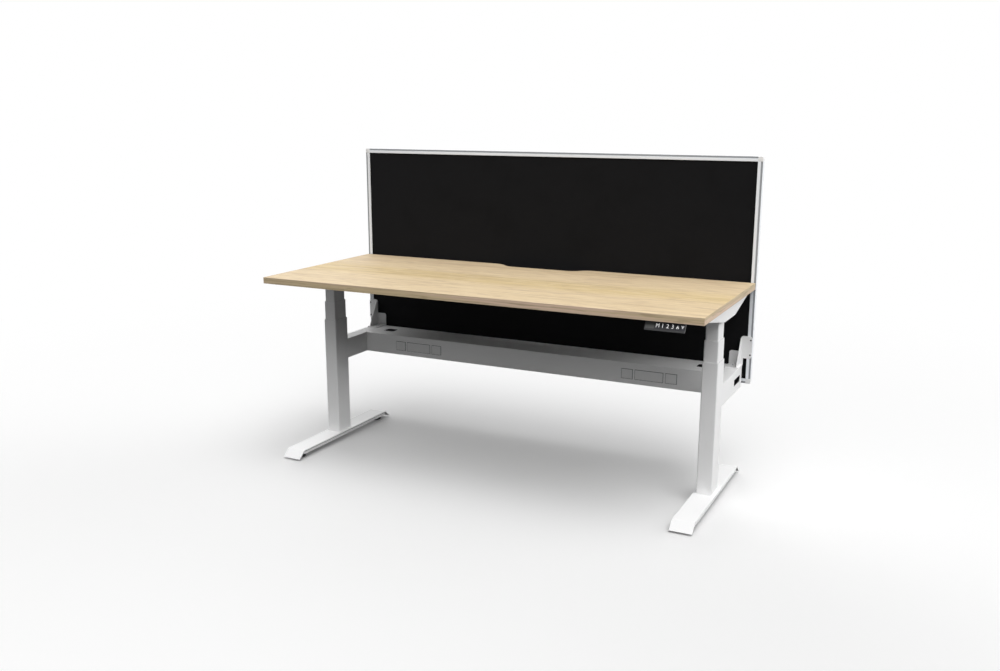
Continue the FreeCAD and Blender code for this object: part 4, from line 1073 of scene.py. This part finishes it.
class WORKSTATION_OT_handset(Operator):
    """Finish the handset's case and its display window"""
    bl_idname = "workstation.handset"
    bl_label = "Handset"

    def execute(self, context):
        plastic = context.scene.workstation_plastic
        out = key_slope()[0]
        dressed("handset_case", plastic.edge, moulded_plastic(context, "case"),
                moulded_plastic(context, "face"),
                shape=lambda form: soften(form, plastic.corner, runs_along(out), segments=4),
                paint=lambda face: int(face.normal.dot(out) > SAME_SLOPE))
        dressed("handset_display", plastic.window_edge, smoked_window(context))
        return {"FINISHED"}


class WORKSTATION_OT_keys(Operator):
    """Finish the six keys and print their legends"""
    bl_idname = "workstation.keys"
    bl_label = "Keys"

    def execute(self, context):
        plastic = context.scene.workstation_plastic
        out, up = key_slope()
        facing = Matrix((RIGHT, up, out)).transposed().to_4x4()
        for name in KEYS:
            node = "key_" + name
            dressed(node, plastic.key_edge, moulded_plastic(context, "key"),
                    shape=lambda form: soften(form, plastic.corner, runs_along(out), segments=4))
            low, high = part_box(node)
            middle = (low + high) / 2
            top = max((point.co - middle).dot(out) for point in NODES[node].data.vertices)
            mesh = legend(name, plastic)
            mesh.transform(Matrix.Translation(middle + out * top) @ facing)
            fitted(node + "_legend", mesh, node, key_print(context))
        return {"FINISHED"}


def legend(name, plastic):
    """The thin raised print of one key, round its own origin."""
    height, thickness = plastic.legend_height, plastic.print_height
    if name not in LETTERS:
        return arrow(name, height, thickness)
    text = bpy.data.curves.new(name + "_text", "FONT")
    text.body = LETTERS[name]
    text.extrude = 1
    writing = placed(name + "_text", text)
    bpy.context.view_layer.update()
    mesh = bpy.data.meshes.new_from_object(writing)
    bpy.data.objects.remove(writing)
    low, high = extent(point.co for point in mesh.vertices)
    size = high - low
    scale = height / size.y
    flat = Matrix.Diagonal((min(scale, plastic.legend_width / size.x), scale, thickness / size.z, 1))
    lift = Matrix.Translation(UP * thickness / 2)
    mesh.transform(lift @ flat @ Matrix.Translation(-(low + high) / 2))
    return mesh


def arrow(name, legend_height, thickness):
    """An open arrowhead that points up or down."""
    top, side = legend_height * ARROW_HEIGHT / 2, legend_height * ARROW_WIDTH / 2
    stroke = legend_height * ARROW_STROKE
    foot = side - stroke * ARROW_FOOT
    outline = ((-side, -top), (0, top), (side, -top), (foot, -top), (0, top - stroke * ARROW_NOTCH),
               (-foot, -top))
    way = 1 if name == "up" else -1
    form = bmesh.new()
    face = form.faces.new([form.verts.new((x, y * way, 0)) for x, y in outline])
    raised = bmesh.ops.extrude_face_region(form, geom=[face])
    points = [item for item in raised["geom"] if isinstance(item, bmesh.types.BMVert)]
    bmesh.ops.translate(form, vec=UP * thickness, verts=points)
    return finished(form, "arrow_" + name)


class WORKSTATION_OT_stage(Operator):
    """Set up the floor, the lamps, the surroundings and the camera"""
    bl_idname = "workstation.stage"
    bl_label = "Studio"

    def execute(self, context):
        stage = context.scene.workstation_stage
        floor = lay_floor(stage)
        light_room(context, stage)
        hang_lamps(stage, floor)
        set_camera(context, stage)
        context.scene.view_settings.view_transform = "Standard"
        return {"FINISHED"}


def bare_tree(owner):
    """The emptied node tree of a material or a world."""
    owner.use_nodes = True
    owner.node_tree.nodes.clear()
    return Shading(owner.node_tree)


def seen_rays(shading):
    """1 for rays from the camera, from gloss and through glass, else 0."""
    path = shading.node("ShaderNodeLightPath").socket.node
    camera, gloss, glass = (Value(shading, path.outputs["Is %s Ray" % kind])
                            for kind in ("Camera", "Glossy", "Transmission"))
    return shading.node("ShaderNodeClamp", None, {"Value": camera + gloss + glass})


def lay_floor(stage):
    """A pale floor that keeps the shadow near the desk and runs out to white."""
    form = bmesh.new()
    bmesh.ops.create_circle(form, cap_ends=True, segments=FLOOR_SIDES, radius=FLOOR_RADIUS)
    floor = placed("studio_floor", finished(form, "studio_floor"))
    material = bpy.data.materials.new("floor_paper")
    shading = bare_tree(material)
    shown = seen_rays(shading)
    tint = shading.mix(shown, (stage.floor_bounce,) * 3, (stage.floor_shown,) * 3)
    paper = shading.node("ShaderNodeBsdfDiffuse", None, {"Color": tint})
    white = shading.node("ShaderNodeEmission", None, {"Color": (1, 1, 1), "Strength": 1.0})
    place = shading.node("ShaderNodeTexCoord", output="Object")
    distance = shading.node("ShaderNodeVectorMath", {"operation": "LENGTH"}, {0: place}, "Value")
    far = shading.step(distance, stage.clear_near, stage.clear_far)
    surface = shading.node("ShaderNodeMixShader", None, {0: far * shown, 1: paper, 2: white})
    shading.node("ShaderNodeOutputMaterial", None, {"Surface": surface})
    floor.data.materials.append(material)
    return floor


def towards(bearing, height):
    """The way to a light, from its bearing to the right of the front and its height, in degrees."""
    bearing, height = math.radians(bearing), math.radians(height)
    level = math.cos(height)
    return Vector((math.sin(bearing) * level, -math.cos(bearing) * level, math.sin(height)))


def light_room(context, stage):
    """White to the camera, and soft light from a few sides of the room for everything else."""
    world = bpy.data.worlds.new("studio")
    context.scene.world = world
    shading = bare_tree(world)
    way = shading.node("ShaderNodeTexCoord", output="Generated")
    light = 0
    for bearing, height, strength in ROOM_LIGHTS:
        facing = shading.node("ShaderNodeVectorMath", {"operation": "DOT_PRODUCT"},
                              {0: way, 1: towards(bearing, height)}, "Value")
        facing = shading.node("ShaderNodeMath", {"operation": "MAXIMUM"}, {0: facing, 1: 0.0})
        light = light + facing ** ROOM_SHARPNESS * (strength * stage.room_light)
    shown = seen_rays(shading)
    surface = shading.node("ShaderNodeBackground", None,
                           {"Color": (1, 1, 1), "Strength": shown + light * (1 - shown)})
    shading.node("ShaderNodeOutputWorld", None, {"Surface": surface})


def hang_lamps(stage, floor):
    """Large far lamps in front and at both sides, which light the desk and not the floor."""
    lit = bpy.data.collections.new("lamps_leave_out")
    lit.objects.link(floor)
    lit.collection_objects[0].light_linking.link_state = "EXCLUDE"
    for name, bearing, height, power in LAMPS:
        lamp = bpy.data.lights.new(name, "AREA")
        lamp.shape = "DISK"
        lamp.size = LAMP_SIZE
        lamp.energy = power * stage.lamp_light
        item = placed(name, lamp)
        way = towards(bearing, height)
        item.location = AIM + way * LAMP_DISTANCE
        item.rotation_euler = way.to_track_quat("Z", "Y").to_euler()
        item.light_linking.receiver_collection = lit


def set_camera(context, stage):
    """The camera at the picture's viewpoint."""
    lens = bpy.data.cameras.new("camera")
    lens.sensor_fit = "HORIZONTAL"
    lens.sensor_width = SENSOR_WIDTH
    lens.lens = stage.lens
    camera = placed("camera", lens)
    turn = Matrix.Rotation(stage.turn, 4, "Z") @ Matrix.Rotation(math.pi / 2 - stage.dip, 4, "X")
    camera.matrix_world = Matrix.Translation(stage.position) @ turn @ Matrix.Rotation(stage.roll, 4, "Z")
    context.scene.camera = camera


SETTINGS = {
    "workstation_paint": PaintSettings,
    "workstation_oak": OakSettings,
    "workstation_cloth": ClothSettings,
    "workstation_plastic": PlasticSettings,
    "workstation_hardware": HardwareSettings,
    "workstation_stage": StageSettings,
}
STEPS = (
    WORKSTATION_OT_feet, WORKSTATION_OT_levellers, WORKSTATION_OT_columns, WORKSTATION_OT_lifting_gear,
    WORKSTATION_OT_arms, WORKSTATION_OT_beam, WORKSTATION_OT_outlet_blanks,
    WORKSTATION_OT_screen_brackets, WORKSTATION_OT_screws, WORKSTATION_OT_screen_frame,
    WORKSTATION_OT_screen_cloth, WORKSTATION_OT_worktop, WORKSTATION_OT_underframe,
    WORKSTATION_OT_control_box, WORKSTATION_OT_handset, WORKSTATION_OT_keys, WORKSTATION_OT_stage,
)


class WORKSTATION_PT_steps(Panel):
    """Lists the workstation's pieces and their settings"""
    bl_idname = "WORKSTATION_PT_steps"
    bl_label = "Workstation"
    bl_space_type = "VIEW_3D"
    bl_region_type = "UI"
    bl_category = "Workstation"

    def draw(self, context):
        for step in STEPS:
            self.layout.operator(step.bl_idname)
        for name, group in SETTINGS.items():
            box = self.layout.box()
            box.label(text=group.__doc__)
            for setting in group.__annotations__:
                box.prop(getattr(context.scene, name), setting)


def register():
    """Adds the settings, the operators and the panel."""
    for name, group in SETTINGS.items():
        bpy.utils.register_class(group)
        setattr(bpy.types.Scene, name, PointerProperty(type=group))
    for step in (*STEPS, WORKSTATION_PT_steps):
        bpy.utils.register_class(step)


def unregister():
    """Takes them away again."""
    for step in (WORKSTATION_PT_steps, *reversed(STEPS)):
        bpy.utils.unregister_class(step)
    for name, group in SETTINGS.items():
        delattr(bpy.types.Scene, name)
        bpy.utils.unregister_class(group)


def main():
    """Builds every piece and the studio."""
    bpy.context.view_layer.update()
    register()
    for step in STEPS:
        group, action = step.bl_idname.split(".")
        getattr(getattr(bpy.ops, group), action)()


if __name__ == "__main__":
    main()
